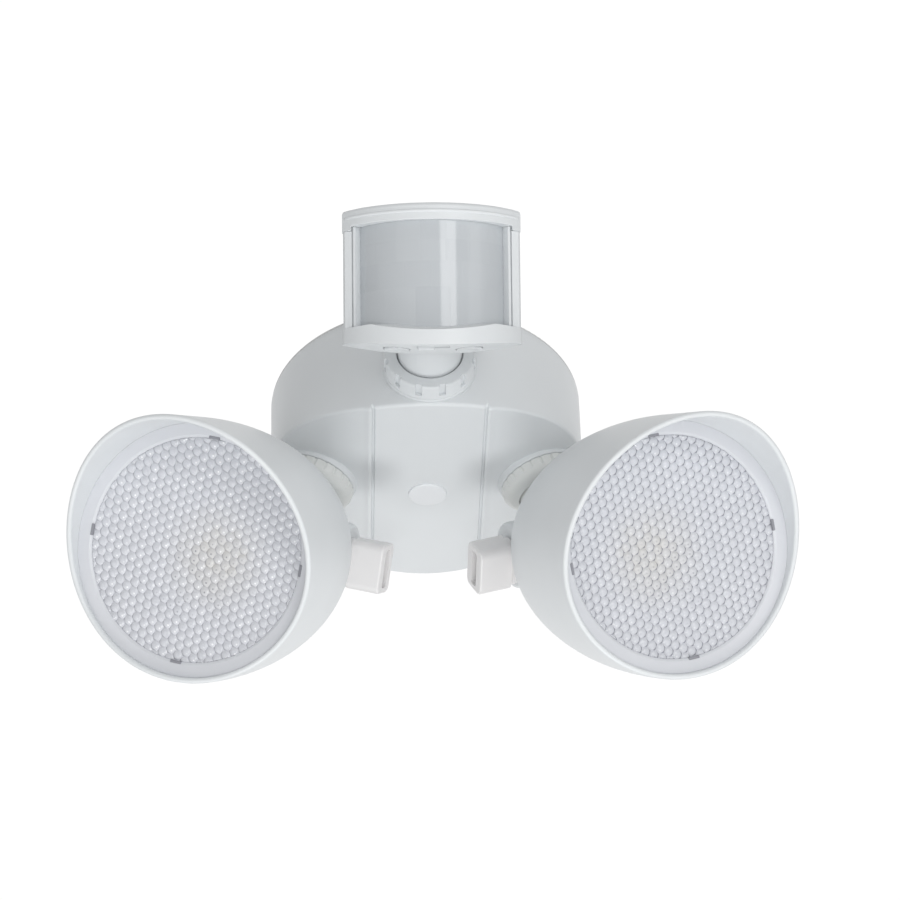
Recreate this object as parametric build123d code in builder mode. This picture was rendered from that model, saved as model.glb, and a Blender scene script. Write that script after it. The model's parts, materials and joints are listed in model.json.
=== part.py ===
from build123d import *
import os
from math import sin, cos, tan, radians, sqrt

os.makedirs("parts", exist_ok=True)

# Twin-lamp outdoor security light with a motion sensor, hung under an eave.
# Row frame: origin at the centre of the canopy's mounting face, +Z up into the
# eave, -Y towards the front where the sensor looks, +X to the viewer's right.

# ---------------------------------------------------------------- dimensions
# canopy
canopy_r = 60.5          # radius at the mounting rim
canopy_r_front = 60.1    # radius at the front edge
seat_t = 1.2             # gasket thickness
band_depth = 42.56       # depth of the front face at the centre
face_tilt = 4.83         # the front face is deeper on the sensor side, degrees
facet_angle = 17.67      # the two side facets slope back, degrees
band_half = 22.4         # half width of the raised centre band
wall = 2.2
plug_y = 0.7
plug_r = 7.35

# mounting bar
bar_len = 102.0
bar_w = 19.0
bar_t = 1.6
box_screw_spacing = 88.9  # 4 in junction box
box_slot_r = 2.4
box_slot_len = 9.0
narrow_box_spacing = 69.85

# sensor arm and collar
arm_z = -29.0
arm_r = 12.0
spigot_r = 14.8
spigot_end = -66.0
collar_r = 17.3
pivot_y = -90.0
barrel_r = 11.8
sensor_pitch = 31.0

# sensor head, in its own frame: x right, y back, z up, origin on the pivot
head_half = 32.35
head_top = 34.5
cap_z0 = 28.3            # underside of the rain cap
head_apex = -35.0        # front of the rain cap on the centre line
head_side_y = -18.0      # where the curved front meets the sides
lens_half = 26.2
lens_apex = -33.2
lens_side_y = -18.0
lens_z0 = -11.2
lens_z1 = 28.9
lip_apex = -37.0

# lamp, in its own frame: x outboard, y towards the visor, z along the beam,
# origin on the tilt pivot
hub_at = (43.0, -2.8, -35.9)
pivot_at = (54.92, 0.41, -68.65)
beam = (0.340, -0.7525, -0.564)
shell_r = 47.2
shell_wall = 2.0
shell_len = 103.0        # half axis of the elliptic rear
shell_mid = 91.4         # where the rear ellipse meets the straight front
lens_s = 89.0            # front of the lens ring
tongue_half = 7.0
pocket_half = 7.8
knuckle_r = 12.8
knuckle_c = (1.6, -1.0)  # centre of the knuckle housing beside the pivot
boss_in = -26.0
boss_out = 22.0
bolt_r = 2.95
knob_w = 19.0
knob_t = 12.2
knob_end = -41.6
hub_nut_r = 16.25
hub_spigot_r = 13.6
lamp_arm_r = 11.0


def local_plane(frame, o=(0, 0, 0), z=(0, 0, 1), x=(1, 0, 0)):
    """A plane given in the coordinates of another frame."""
    zz = frame.from_local_coords(Vector(*z)) - frame.origin
    xx = frame.from_local_coords(Vector(*x)) - frame.origin
    return Plane(origin=frame.from_local_coords(Vector(*o)), x_dir=xx, z_dir=zz)


def local_axis(frame, o=(0, 0, 0), d=(0, 0, 1)):
    dd = frame.from_local_coords(Vector(*d)) - frame.origin
    return Axis(frame.from_local_coords(Vector(*o)), dd)


def face_z(x, y):
    """Height of the canopy's outer front face."""
    return -band_depth + y * tan(radians(face_tilt)) + max(abs(x) - band_half, 0) * tan(radians(facet_angle))


def finish(name, part):
    part.label = name
    export_step(part, "parts/" + name + ".step")


def disc(plane, r0, r1, a, b):
    """A round or ring solid about a plane's normal, from height a to b."""
    with BuildPart() as d:
        with BuildSketch(plane.offset(a)):
            Circle(r1)
            if r0 > 0:
                Circle(r0, mode=Mode.SUBTRACT)
        extrude(amount=b - a)
    return d.part


# ------------------------------------------------------------------- canopy
band_n = (0, tan(radians(face_tilt)), -1)
facet_n = {s: (s * tan(radians(facet_angle)), tan(radians(face_tilt)), -1) for s in (1, -1)}


def canopy_envelope(r_top, r_front, lift, top_z):
    with BuildPart() as env:
        with BuildSketch(Plane.XZ):
            with BuildLine():
                Polyline((0, top_z), (r_top, top_z), (r_front, -60), (0, -60), close=True)
            make_face()
        revolve(axis=Axis.Z)
        split(bisect_by=Plane(origin=(0, 0, -band_depth + lift), z_dir=band_n), keep=Keep.BOTTOM)
        for s in (1, -1):
            split(bisect_by=Plane(origin=(s * band_half, 0, -band_depth + lift), z_dir=facet_n[s]), keep=Keep.BOTTOM)
    return env.part


hub_vec = (Vector(*pivot_at) - Vector(*hub_at)).normalized()
beam_v = Vector(*beam).normalized()
visor_v = (beam_v * hub_vec.dot(beam_v) - hub_vec).normalized()
out_v = visor_v.cross(beam_v)
L = Plane(origin=pivot_at, x_dir=out_v, z_dir=beam_v)
HUB = Plane(origin=hub_at, x_dir=out_v, z_dir=hub_vec)
pivot_h = (Vector(*pivot_at) - Vector(*hub_at)).length
COLLAR = Plane(origin=(0, 0, arm_z), x_dir=(1, 0, 0), z_dir=(0, -1, 0))

outer_env = canopy_envelope(canopy_r, canopy_r_front, 0, -seat_t)
inner_env = canopy_envelope(canopy_r - wall, canopy_r_front - wall, wall, 1.0)

with BuildPart() as canopy_shell:
    add(outer_env)
    ridge = canopy_shell.edges().filter_by(GeomType.LINE).filter_by(
        lambda e: abs(abs(e.center().X) - band_half) < 1.0 and e.length > 60)
    fillet(ridge, radius=8)
    rim = canopy_shell.edges().filter_by(lambda e: e.center().Z < -20 and e.bounding_box().size.length > 1.0
                                         and sqrt(e.center().X ** 2 + e.center().Y ** 2) > 40)
    fillet(rim, radius=1.3)
    # fine grooves that set off the centre band
    for s in (1, -1):
        with BuildSketch(Plane(origin=(s * 21.0, 0, -band_depth), x_dir=(1, 0, 0), z_dir=band_n)):
            Rectangle(0.8, 130)
        extrude(amount=0.8, both=True, mode=Mode.SUBTRACT)
    add(inner_env, mode=Mode.SUBTRACT)
    # seat and threaded spigot for the sensor arm
    add(disc(COLLAR, 0, 17.4, 56.5, 61.0))
    add(disc(COLLAR, 0, spigot_r, 61.0, -spigot_end))
    # seats and spigots for the two lamp arms
    for s in (1, -1):
        hub_plane = HUB if s == 1 else Plane(origin=(-hub_at[0], hub_at[1], hub_at[2]), x_dir=(-out_v.X, out_v.Y, out_v.Z),
                                             z_dir=(-hub_vec.X, hub_vec.Y, hub_vec.Z))
        add(disc(hub_plane, 0, 16.5, -6.0, 1.8))
        add(disc(hub_plane, 0, hub_spigot_r, 1.8, 7.2))
        add(disc(hub_plane, 0, lamp_arm_r + 0.06, -9.0, 9.0), mode=Mode.SUBTRACT)
    add(disc(COLLAR, 0, arm_r + 0.06, 50.0, 70.0), mode=Mode.SUBTRACT)
    # centre post for the long mounting screw
    with BuildSketch(Plane.XY.offset(-41.0)):
        with Locations((0, plug_y)):
            Circle(7.6)
    extrude(amount=33.4)
    with BuildSketch(Plane.XY.offset(-34.5)):
        with Locations((0, plug_y)):
            Circle(5.9)
    extrude(amount=-14, mode=Mode.SUBTRACT)
    with BuildSketch(Plane.XY.offset(-31.5)):
        with Locations((0, plug_y)):
            Circle(3.2)
    extrude(amount=30, mode=Mode.SUBTRACT)
    with BuildSketch(Plane.XY.offset(-35)):
        with Locations((0, plug_y)):
            Circle(2.6)
    extrude(amount=6, mode=Mode.SUBTRACT)
    # posts for the board and for the rear cover
    for px, py in ((22, 18), (-22, 18), (22, 44), (-22, 44)):
        with BuildSketch(Plane.XY.offset(-33.0)):
            with Locations((px, py)):
                Circle(3.2)
                Circle(1.2, mode=Mode.SUBTRACT)
        extrude(amount=face_z(px, py) + 1.0 + 33.0)
    for px, py in ((47.0, 17.1), (-47.0, 17.1), (32.1, -38.3), (-32.1, -38.3)):
        with BuildSketch(Plane.XY.offset(-7.5)):
            with Locations((px, py)):
                Circle(3.4)
                Circle(1.2, mode=Mode.SUBTRACT)
        extrude(amount=face_z(px, py) + 1.0 + 7.5)
finish("canopy_shell", canopy_shell.part)

with BuildPart() as mounting_gasket:
    with BuildSketch(Plane.XY):
        Circle(canopy_r - 0.2)
        Circle(canopy_r - 5.0, mode=Mode.SUBTRACT)
    extrude(amount=-seat_t)
    fillet(mounting_gasket.edges().filter_by(GeomType.CIRCLE).filter_by(lambda e: e.radius > 58), radius=0.35)
finish("mounting_gasket", mounting_gasket.part)

with BuildPart() as mounting_bar:
    with BuildSketch(Plane.XY):
        SlotOverall(bar_len, bar_w)
        with Locations((box_screw_spacing / 2, 0), (-box_screw_spacing / 2, 0)):
            SlotOverall(box_slot_len, 2 * box_slot_r, mode=Mode.SUBTRACT)
        with Locations((narrow_box_spacing / 2, 0), (-narrow_box_spacing / 2, 0)):
            Circle(2.2, mode=Mode.SUBTRACT)
    extrude(amount=-bar_t)
    with BuildSketch(Plane.XY.offset(-bar_t)):
        with Locations((0, plug_y)):
            Circle(4.2)
    extrude(amount=-2.6)
    with BuildSketch(Plane.XY):
        with Locations((0, plug_y)):
            Circle(2.1)
    extrude(amount=-5, mode=Mode.SUBTRACT)
    fillet(mounting_bar.edges().group_by(Axis.Z)[-1].filter_by(lambda e: e.bounding_box().size.X > 10), radius=0.4)
finish("mounting_bar", mounting_bar.part)

with BuildPart() as back_cover:
    with BuildSketch(Plane.XY.offset(-7.4)):
        Circle(57.6)
        with Locations((0, plug_y)):
            Circle(5.2, mode=Mode.SUBTRACT)
        with Locations((0, -24)):
            Circle(6.0, mode=Mode.SUBTRACT)
        with Locations((47.0, 17.1), (-47.0, 17.1), (32.1, -38.3), (-32.1, -38.3)):
            Circle(1.6, mode=Mode.SUBTRACT)
    extrude(amount=1.8)
    with BuildSketch(Plane.XY.offset(-7.4)):
        Circle(57.6)
        Circle(55.8, mode=Mode.SUBTRACT)
    extrude(amount=3.4)
finish("back_cover", back_cover.part)

with BuildPart() as cover_screws:
    for px, py in ((47.0, 17.1), (-47.0, 17.1), (32.1, -38.3), (-32.1, -38.3)):
        with BuildSketch(Plane.XY.offset(-5.55)):
            with Locations((px, py)):
                Circle(2.8)
        extrude(amount=1.7)
        with BuildSketch(Plane.XY.offset(-5.55)):
            with Locations((px, py)):
                Circle(1.15)
        extrude(amount=-9)
        with BuildSketch(Plane.XY.offset(-3.85)):
            with Locations((px, py)):
                Rectangle(3.4, 0.8)
                Rectangle(0.8, 3.4)
        extrude(amount=-0.9, mode=Mode.SUBTRACT)
finish("cover_screws", cover_screws.part)

with BuildPart() as lead_grommet:
    with BuildSketch(Plane.XZ.offset(24)):
        with BuildLine():
            Polyline((3.8, -9.2), (7.6, -9.2), (7.6, -7.45), (5.95, -7.45), (5.95, -5.55), (7.6, -5.55), (7.0, -3.9), (3.8, -3.9), close=True)
        make_face()
    revolve(axis=Axis((0, -24, 0), (0, 0, 1)))
finish("lead_grommet", lead_grommet.part)

with BuildPart() as center_screw:
    with BuildSketch(Plane.XY.offset(-34.6)):
        with Locations((0, plug_y)):
            Circle(4.2)
    extrude(amount=-2.9)
    fillet(center_screw.edges().group_by(Axis.Z)[0], radius=1.2)
    with BuildSketch(Plane.XY.offset(-34.6)):
        with Locations((0, plug_y)):
            Circle(2.05)
    extrude(amount=34.2)
    with BuildSketch(Plane.XY.offset(-37.5)):
        with Locations((0, plug_y)):
            Rectangle(5.0, 0.9)
            Rectangle(0.9, 5.0)
    extrude(amount=1.5, mode=Mode.SUBTRACT)
finish("center_screw", center_screw.part)

PLUG = Plane(origin=(0, plug_y, face_z(0, plug_y)), x_dir=(1, 0, 0), z_dir=band_n)
with BuildPart() as center_plug:
    with BuildSketch(PLUG.offset(0.03)):
        Circle(plug_r)
    extrude(amount=1.1)
    fillet(center_plug.edges().filter_by(GeomType.CIRCLE).sort_by(Axis.Z)[0], radius=0.7)
    with BuildSketch(Plane.XY.offset(-38.6)):
        with Locations((0, plug_y)):
            Circle(5.75)
            Circle(4.4, mode=Mode.SUBTRACT)
    extrude(amount=-4.4)
finish("center_plug", center_plug.part)

with BuildPart() as driver_board:
    with BuildSketch(Plane.XY.offset(-33.0)):
        with Locations((0, 31)):
            RectangleRounded(52, 34, 2)
        with Locations((22, 18), (-22, 18), (22, 44), (-22, 44)):
            Circle(1.6, mode=Mode.SUBTRACT)
    extrude(amount=1.6)
finish("driver_board", driver_board.part)

with BuildPart() as board_screws:
    for px, py in ((22, 18), (-22, 18), (22, 44), (-22, 44)):
        with BuildSketch(Plane.XY.offset(-31.35)):
            with Locations((px, py)):
                Circle(2.6)
        extrude(amount=1.6)
        with BuildSketch(Plane.XY.offset(-31.35)):
            with Locations((px, py)):
                Circle(1.15)
        extrude(amount=-5.0 if py < 30 else -4.6)
finish("board_screws", board_screws.part)

with BuildPart() as driver_transformer:
    with BuildSketch(Plane.XY.offset(-31.35)):
        with Locations((-12, 29)):
            RectangleRounded(16, 18, 1.5)
    extrude(amount=13)
    with BuildSketch(Plane.XY.offset(-18.35)):
        with Locations((-12, 29)):
            RectangleRounded(12, 10, 1)
    extrude(amount=1.4)
finish("driver_transformer", driver_transformer.part)

with BuildPart() as driver_capacitor:
    with BuildSketch(Plane.XY.offset(-31.35)):
        with Locations((4, 26)):
            Circle(5)
    extrude(amount=16)
    fillet(driver_capacitor.edges().sort_by(Axis.Z)[-1], radius=0.8)
finish("driver_capacitor", driver_capacitor.part)

with BuildPart() as driver_relay:
    with BuildSketch(Plane.XY.offset(-31.35)):
        with Locations((15.0, 29.5)):
            RectangleRounded(9, 16, 0.8)
    extrude(amount=14)
finish("driver_relay", driver_relay.part)

with BuildPart() as terminal_block:
    with BuildSketch(Plane.XY.offset(-31.35)):
        with Locations((0, 42.5)):
            RectangleRounded(24, 8, 0.6)
    extrude(amount=9)
    with BuildSketch(Plane.XY.offset(-22.35)):
        with Locations((-8, 42.5), (0, 42.5), (8, 42.5)):
            Circle(2.4)
    extrude(amount=-4, mode=Mode.SUBTRACT)
finish("terminal_block", terminal_block.part)

# --------------------------------------------------------------- sensor arm
with BuildPart() as sensor_collar:
    add(disc(COLLAR, spigot_r + 0.05, collar_r, 61.3, 66.4))
    add(disc(COLLAR, arm_r + 0.45, collar_r, 66.4, 68.0))
    fillet(sensor_collar.edges().filter_by(GeomType.CIRCLE).filter_by(
        lambda e: abs(e.radius - collar_r) < 0.01 and e.center().Y < -67), radius=0.9)
    fillet(sensor_collar.edges().filter_by(GeomType.CIRCLE).filter_by(
        lambda e: abs(e.radius - arm_r - 0.45) < 0.01 and e.center().Y < -67), radius=0.4)
    # grip notches
    with BuildSketch(COLLAR.offset(62.9)):
        with PolarLocations(collar_r + 0.25, 12, start_angle=15):
            Rectangle(2.9, 2.5)
    extrude(amount=6, mode=Mode.SUBTRACT)
finish("sensor_collar", sensor_collar.part)

PIVOT_AX = Plane(origin=(0, pivot_y, arm_z), x_dir=(0, 1, 0), z_dir=(1, 0, 0))
with BuildPart() as sensor_arm:
    add(disc(COLLAR, 0, 14.4, 53.2, 55.8))
    add(disc(COLLAR, 0, arm_r, 55.8, -pivot_y + 12))
    # the front end is rounded about the tilt axis
    with BuildSketch(PIVOT_AX):
        with Locations((-15, 0)):
            Rectangle(30, 40)
        Circle(barrel_r, mode=Mode.SUBTRACT)
    extrude(amount=20, both=True, mode=Mode.SUBTRACT)
    # wire way, with its exit above the pin
    add(disc(COLLAR, 0, 8.0, 50, 80), mode=Mode.SUBTRACT)
    with BuildSketch(Plane(origin=(0, -79, arm_z + 5.6), x_dir=(1, 0, 0), z_dir=(0, -1, 0))):
        Circle(2.2)
    extrude(amount=26, mode=Mode.SUBTRACT)
    # groove for the seal, and the hole for the pin
    add(disc(COLLAR, 10.4, arm_r + 1, 58.0, 60.2), mode=Mode.SUBTRACT)
    with BuildSketch(PIVOT_AX):
        Circle(2.55)
    extrude(amount=20, both=True, mode=Mode.SUBTRACT)
finish("sensor_arm", sensor_arm.part)

with BuildPart() as sensor_o_ring:
    with BuildSketch(Plane(origin=(0, -59.1, arm_z), x_dir=(1, 0, 0), z_dir=(0, 0, 1))):
        with Locations((11.22, 0)):
            Circle(0.76)
    revolve(axis=Axis((0, 0, arm_z), (0, 1, 0)))
finish("sensor_o_ring", sensor_o_ring.part)

# -------------------------------------------------------------- sensor head
S = Plane(origin=(0, pivot_y, arm_z), x_dir=(1, 0, 0),
          z_dir=(0, -sin(radians(sensor_pitch)), cos(radians(sensor_pitch))))
S_SIDE = local_plane(S, (0, 0, 0), z=(1, 0, 0), x=(0, 1, 0))     # sketch x = back, y = up


def arc_outline(half, side_y, apex, back_y):
    """Plan outline with a curved front, drawn on a plane square to z."""
    Line((-half, back_y), (half, back_y))
    Line((half, back_y), (half, side_y))
    ThreePointArc((half, side_y), (0, apex), (-half, side_y))
    Line((-half, side_y), (-half, back_y))


with BuildPart() as sensor_lens:
    with BuildSketch(local_plane(S, (0, 0, lens_z0))):
        with BuildLine():
            a1 = ThreePointArc((-lens_half, lens_side_y), (0, lens_apex), (lens_half, lens_side_y))
            l1 = Line((lens_half, lens_side_y), (lens_half - 1.0, lens_side_y))
            a2 = ThreePointArc((lens_half - 1.0, lens_side_y), (0, lens_apex + 1.0), (-lens_half + 1.0, lens_side_y))
            l2 = Line((-lens_half + 1.0, lens_side_y), (-lens_half, lens_side_y))
        make_face()
    extrude(amount=lens_z1 - lens_z0)
finish("sensor_lens", sensor_lens.part)

with BuildPart() as sensor_rain_cap:
    with BuildSketch(local_plane(S, (0, 0, cap_z0))):
        with BuildLine():
            arc_outline(head_half, head_side_y, head_apex, -9.9)
        make_face()
    extrude(amount=head_top - cap_z0)
    cap_up = S.z_dir
    fillet(sensor_rain_cap.edges().filter_by(lambda e: (e.center() - S.origin).dot(cap_up) > head_top - 0.05), radius=1.5)
    # hollow below, with a skirt inside the housing
    with BuildSketch(local_plane(S, (0, 0, cap_z0))):
        with BuildLine():
            arc_outline(head_half - 7.6, head_side_y + 1, head_apex + 6.5, -13.5)
        make_face()
    extrude(amount=4.0, mode=Mode.SUBTRACT)
    # small ears that lap the side walls
    with BuildSketch(local_plane(S, (0, 0, cap_z0))):
        with BuildLine():
            arc_outline(head_half, head_side_y, head_apex, -14.9)
        make_face()
        Rectangle(58.2, 90, mode=Mode.SUBTRACT)
    extrude(amount=-1.6)
    add(sensor_lens.part, mode=Mode.SUBTRACT)
finish("sensor_rain_cap", sensor_rain_cap.part)

with BuildPart() as sensor_front_frame:
    # lower lip
    with BuildSketch(local_plane(S, (0, 0, -17.6))):
        with BuildLine():
            arc_outline(head_half, head_side_y, lip_apex, -14.9)
        make_face()
    extrude(amount=8.7)
    # side posts up to the cap
    for s in (1, -1):
        with BuildSketch(local_plane(S, (0, 0, -9.6))):
            with BuildLine():
                Polyline((s * 25.0, -14.9), (s * 32.0, -14.9), (s * 32.0, -18.4), (s * 31.4, -19.4), (s * 28.9, -20.4),
                         (s * 28.9, -19.2), (s * 28.4, -19.2), (s * 28.4, -20.6), (s * 27.6, -20.9), (s * 26.3, -19.4),
                         (s * 25.0, -17.2), close=True)
            make_face()
        extrude(amount=cap_z0 - 0.1 + 9.6)
    # the cap's ears lap the tops of the posts
    for s in (1, -1):
        with BuildSketch(local_plane(S, (s * 33.0, -18.0, cap_z0 - 1.7))):
            Rectangle(8.0, 12.0)
        extrude(amount=8, mode=Mode.SUBTRACT)
    # sloped sill in front of the lens
    with BuildSketch(S_SIDE):
        with BuildLine():
            Polyline((-29.5, -8.9), (-40, -13.3), (-40, 0), (-29.5, 0), close=True)
        make_face()
    extrude(amount=40, both=True, mode=Mode.SUBTRACT)
    # crowned underside
    with BuildSketch(local_plane(S, (0, 0, 0), z=(0, -1, 0), x=(1, 0, 0))):
        with BuildLine():
            ThreePointArc((-33.5, -14.0), (0, -17.55), (33.5, -14.0))
            Polyline((33.5, -14.0), (33.5, -24), (-33.5, -24), (-33.5, -14.0))
        make_face()
    extrude(amount=60, both=True, mode=Mode.SUBTRACT)
    # space for the controls, open to the rear
    with BuildSketch(local_plane(S, (0, 0, -14.6))):
        with Locations((0, -22.0)):
            Rectangle(44, 15)
    extrude(amount=4.4, mode=Mode.SUBTRACT)
    # wells of the two dials and the slide switch
    for s in (1, -1):
        with BuildSketch(local_plane(S, (s * 13.0, -23.5, -14.8))):
            Circle(5.0)
        extrude(amount=-5, mode=Mode.SUBTRACT)
        with BuildSketch(local_plane(S, (s * 13.0, -23.5, -14.0))):
            Circle(1.75)
        extrude(amount=-2, mode=Mode.SUBTRACT)
    with BuildSketch(local_plane(S, (0, -30.0, -14.0))):
        Rectangle(12.0, 3.2)
    extrude(amount=-6, mode=Mode.SUBTRACT)
    add(sensor_lens.part, mode=Mode.SUBTRACT)
finish("sensor_front_frame", sensor_front_frame.part)

with BuildPart() as sensor_rear_shell:
    # wedge-shaped case
    with BuildSketch(S_SIDE):
        with BuildLine():
            Polyline((-14.7, 28.2), (-14.7, -12.0), (-2.0, -12.0), (5.0, -6.0), (-8.8, 28.2), close=True)
        make_face()
    extrude(amount=32.0, both=True)
    side_edges = sensor_rear_shell.edges().filter_by(
        lambda e: abs(abs(e.center().X) - 32.0) < 0.01 and (e.center() - S.origin).dot(S.y_dir) > -9.0 and e.length > 8)
    fillet(side_edges, radius=4.5)
    with BuildSketch(S_SIDE):
        with BuildLine():
            Polyline((-16, 26.4), (-16, -10.0), (-2.7, -10.0), (2.8, -5.2), (-10.25, 26.4), close=True)
        make_face()
    extrude(amount=29.8, both=True, mode=Mode.SUBTRACT)
    # housing of the knuckle
    with BuildSketch(S_SIDE):
        Circle(14.5)
        with BuildLine():
            Polyline((-14.7, -12.0), (-14.7, 12.0), (3.0, 14.2), (3.0, -12.0), close=True)
        make_face()
        with Locations((-24.7, 0)):
            Rectangle(20, 60, mode=Mode.SUBTRACT)
        with BuildLine():
            Polyline((5.4, -30), (5.4, -6.6), (-7.95, 26.4), (60, 26.4), (60, -30), close=True)
        make_face(mode=Mode.SUBTRACT)
        with Locations((0, -22.0)):
            Rectangle(60, 20, mode=Mode.SUBTRACT)
        Circle(11.4)
    extrude(amount=15.6, both=True)
    # pocket for the arm, open to the rear and below
    with BuildSketch(S_SIDE):
        Circle(12.4)
        with BuildLine():
            Polyline((2.4, 12.35), (30, 7.0), (30, -30), (5.3, -30), (-10.5, -6.9), close=True)
        make_face()
    extrude(amount=12.4, both=True, mode=Mode.SUBTRACT)
    # posts for the sensor board
    for px, pz in ((19.5, 24.0), (-19.5, 24.0), (19.5, -4.0), (-19.5, -4.0)):
        with BuildSketch(local_plane(S, (px, -14.7, pz), z=(0, 1, 0), x=(1, 0, 0))):
            Circle(2.6)
            Circle(1.05, mode=Mode.SUBTRACT)
        extrude(amount=6.0 if pz > 0 else 17.2)
    with BuildSketch(S_SIDE):
        Circle(2.52)
    extrude(amount=16.2, both=True, mode=Mode.SUBTRACT)
finish("sensor_rear_shell", sensor_rear_shell.part)

with BuildPart() as sensor_pivot_pin:
    with BuildSketch(local_plane(S, (-15.9, 0, 0), z=(1, 0, 0), x=(0, 1, 0))):
        Circle(2.5)
    extrude(amount=31.8)
    chamfer(sensor_pivot_pin.edges().filter_by(GeomType.CIRCLE), length=0.4)
finish("sensor_pivot_pin", sensor_pivot_pin.part)

with BuildPart() as sensor_board:
    with BuildSketch(local_plane(S, (0, -14.85, 10.0), z=(0, -1, 0), x=(-1, 0, 0))):
        RectangleRounded(45, 34, 1.5)
        with Locations((19.5, 14.0), (-19.5, 14.0), (19.5, -14.0), (-19.5, -14.0)):
            Circle(1.3, mode=Mode.SUBTRACT)
    extrude(amount=1.5)
finish("sensor_board", sensor_board.part)

with BuildPart() as sensor_board_screws:
    for px, pz in ((19.5, 24.0), (-19.5, 24.0), (19.5, -4.0), (-19.5, -4.0)):
        with BuildSketch(local_plane(S, (px, -16.4, pz), z=(0, -1, 0), x=(1, 0, 0))):
            Circle(2.3)
        extrude(amount=1.3)
        with BuildSketch(local_plane(S, (px, -16.4, pz), z=(0, 1, 0), x=(1, 0, 0))):
            Circle(1.0)
        extrude(amount=5.5)
finish("sensor_board_screws", sensor_board_screws.part)

with BuildPart() as pir_element:
    with BuildSketch(local_plane(S, (0, -16.4, 12.0), z=(0, -1, 0), x=(1, 0, 0))):
        Circle(4.6)
    extrude(amount=0.6)
    with BuildSketch(local_plane(S, (0, -17.0, 12.0), z=(0, -1, 0), x=(1, 0, 0))):
        Circle(4.1)
    extrude(amount=3.6)
    with BuildSketch(local_plane(S, (0, -20.6, 12.0), z=(0, -1, 0), x=(1, 0, 0))):
        Rectangle(4.2, 3.2)
    extrude(amount=-0.3, mode=Mode.SUBTRACT)
finish("pir_element", pir_element.part)

with BuildPart() as photocell:
    with BuildSketch(local_plane(S, (13.0, -16.4, 2.0), z=(0, -1, 0), x=(1, 0, 0))):
        SlotOverall(5.2, 4.3)
    extrude(amount=2.0)
finish("photocell", photocell.part)


def dial(x):
    """A slotted control dial in its well under the lip."""
    with BuildPart() as d:
        with BuildSketch(local_plane(S, (x, -23.5, -15.1), z=(0, 0, -1), x=(1, 0, 0))):
            Circle(4.6)
        extrude(amount=2.3)
        with BuildSketch(local_plane(S, (x, -23.5, -15.1), z=(0, 0, 1), x=(1, 0, 0))):
            Circle(1.7)
        extrude(amount=3.4)
        with BuildSketch(local_plane(S, (x, -23.5, -17.4), z=(0, 0, 1), x=(1, 0, 0))):
            Rectangle(6.2, 1.1)
        extrude(amount=1.0, mode=Mode.SUBTRACT)
        with BuildSketch(local_plane(S, (x, -23.5, -17.4), z=(0, 0, 1), x=(1, 0, 0))):
            with PolarLocations(4.6, 12):
                Circle(0.35)
        extrude(amount=2.3, mode=Mode.SUBTRACT)
    return d.part


time_dial = dial(-13.0)
finish("time_dial", time_dial)
light_dial = dial(13.0)
finish("light_dial", light_dial)

with BuildPart() as range_slide:
    with BuildSketch(local_plane(S, (-2.6, -30.0, -14.2), z=(0, 0, -1), x=(1, 0, 0))):
        RectangleRounded(6.0, 2.5, 0.6)
    extrude(amount=4.4)
    with BuildSketch(local_plane(S, (-2.6, -27.3, -14.5), z=(0, 0, 1), x=(1, 0, 0))):
        Rectangle(6.0, 3.9)
    extrude(amount=1.2)
finish("range_slide", range_slide.part)

# -------------------------------------------------------------------- lamps
L_SIDE = local_plane(L, (0, 0, 0), z=(1, 0, 0), x=(0, 1, 0))     # sketch x = visor side, y = beam
L_AX = local_axis(L)


def rim_at(y):
    q = y / shell_r
    return 96.86 + 15.04 * q + 9.98 * q * q


def lamp_profile(r, length, z1):
    """Elliptic rear and straight front beside the beam axis."""
    pts = [(r * sin(radians(t)), shell_mid - length * cos(radians(t))) for t in range(0, 91, 10)]
    Spline(*pts, tangents=((1, 0), (0, 1)))
    Polyline((r, shell_mid), (r, z1), (0, z1), (0, shell_mid - length))


with BuildPart() as shell_solid:
    with BuildSketch(L_SIDE):
        with BuildLine():
            lamp_profile(shell_r, shell_len, 124.0)
        make_face()
    revolve(axis=L_AX)
shell_outer = shell_solid.part

with BuildPart() as cavity_solid:
    with BuildSketch(L_SIDE):
        with BuildLine():
            lamp_profile(shell_r - shell_wall, shell_len - shell_wall, 126.0)
        make_face()
    revolve(axis=L_AX)
    # the walls around the arm's pocket stay
    with BuildSketch(L_SIDE):
        Circle(12.2)
        with BuildLine():
            Polyline((5.0, 11.4), (60.0, -8.5), (60.0, -40.0), (-4.5, -40.0), (-11.6, -1.0), close=True)
        make_face()
    extrude(amount=pocket_half + 2.0, both=True, mode=Mode.SUBTRACT)
    # so does the wall around the knob's recess
    with BuildSketch(L_SIDE):
        Circle(12.6)
    extrude(amount=-45, mode=Mode.SUBTRACT)
shell_inner = cavity_solid.part

with BuildPart() as knuckle_block:
    with BuildSketch(local_plane(L, (boss_in, 0, 0), z=(1, 0, 0), x=(0, 1, 0))):
        with Locations(knuckle_c):
            Circle(knuckle_r)
    extrude(amount=boss_out - boss_in)
    fillet(knuckle_block.edges().filter_by(GeomType.CIRCLE), radius=1.0)

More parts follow.
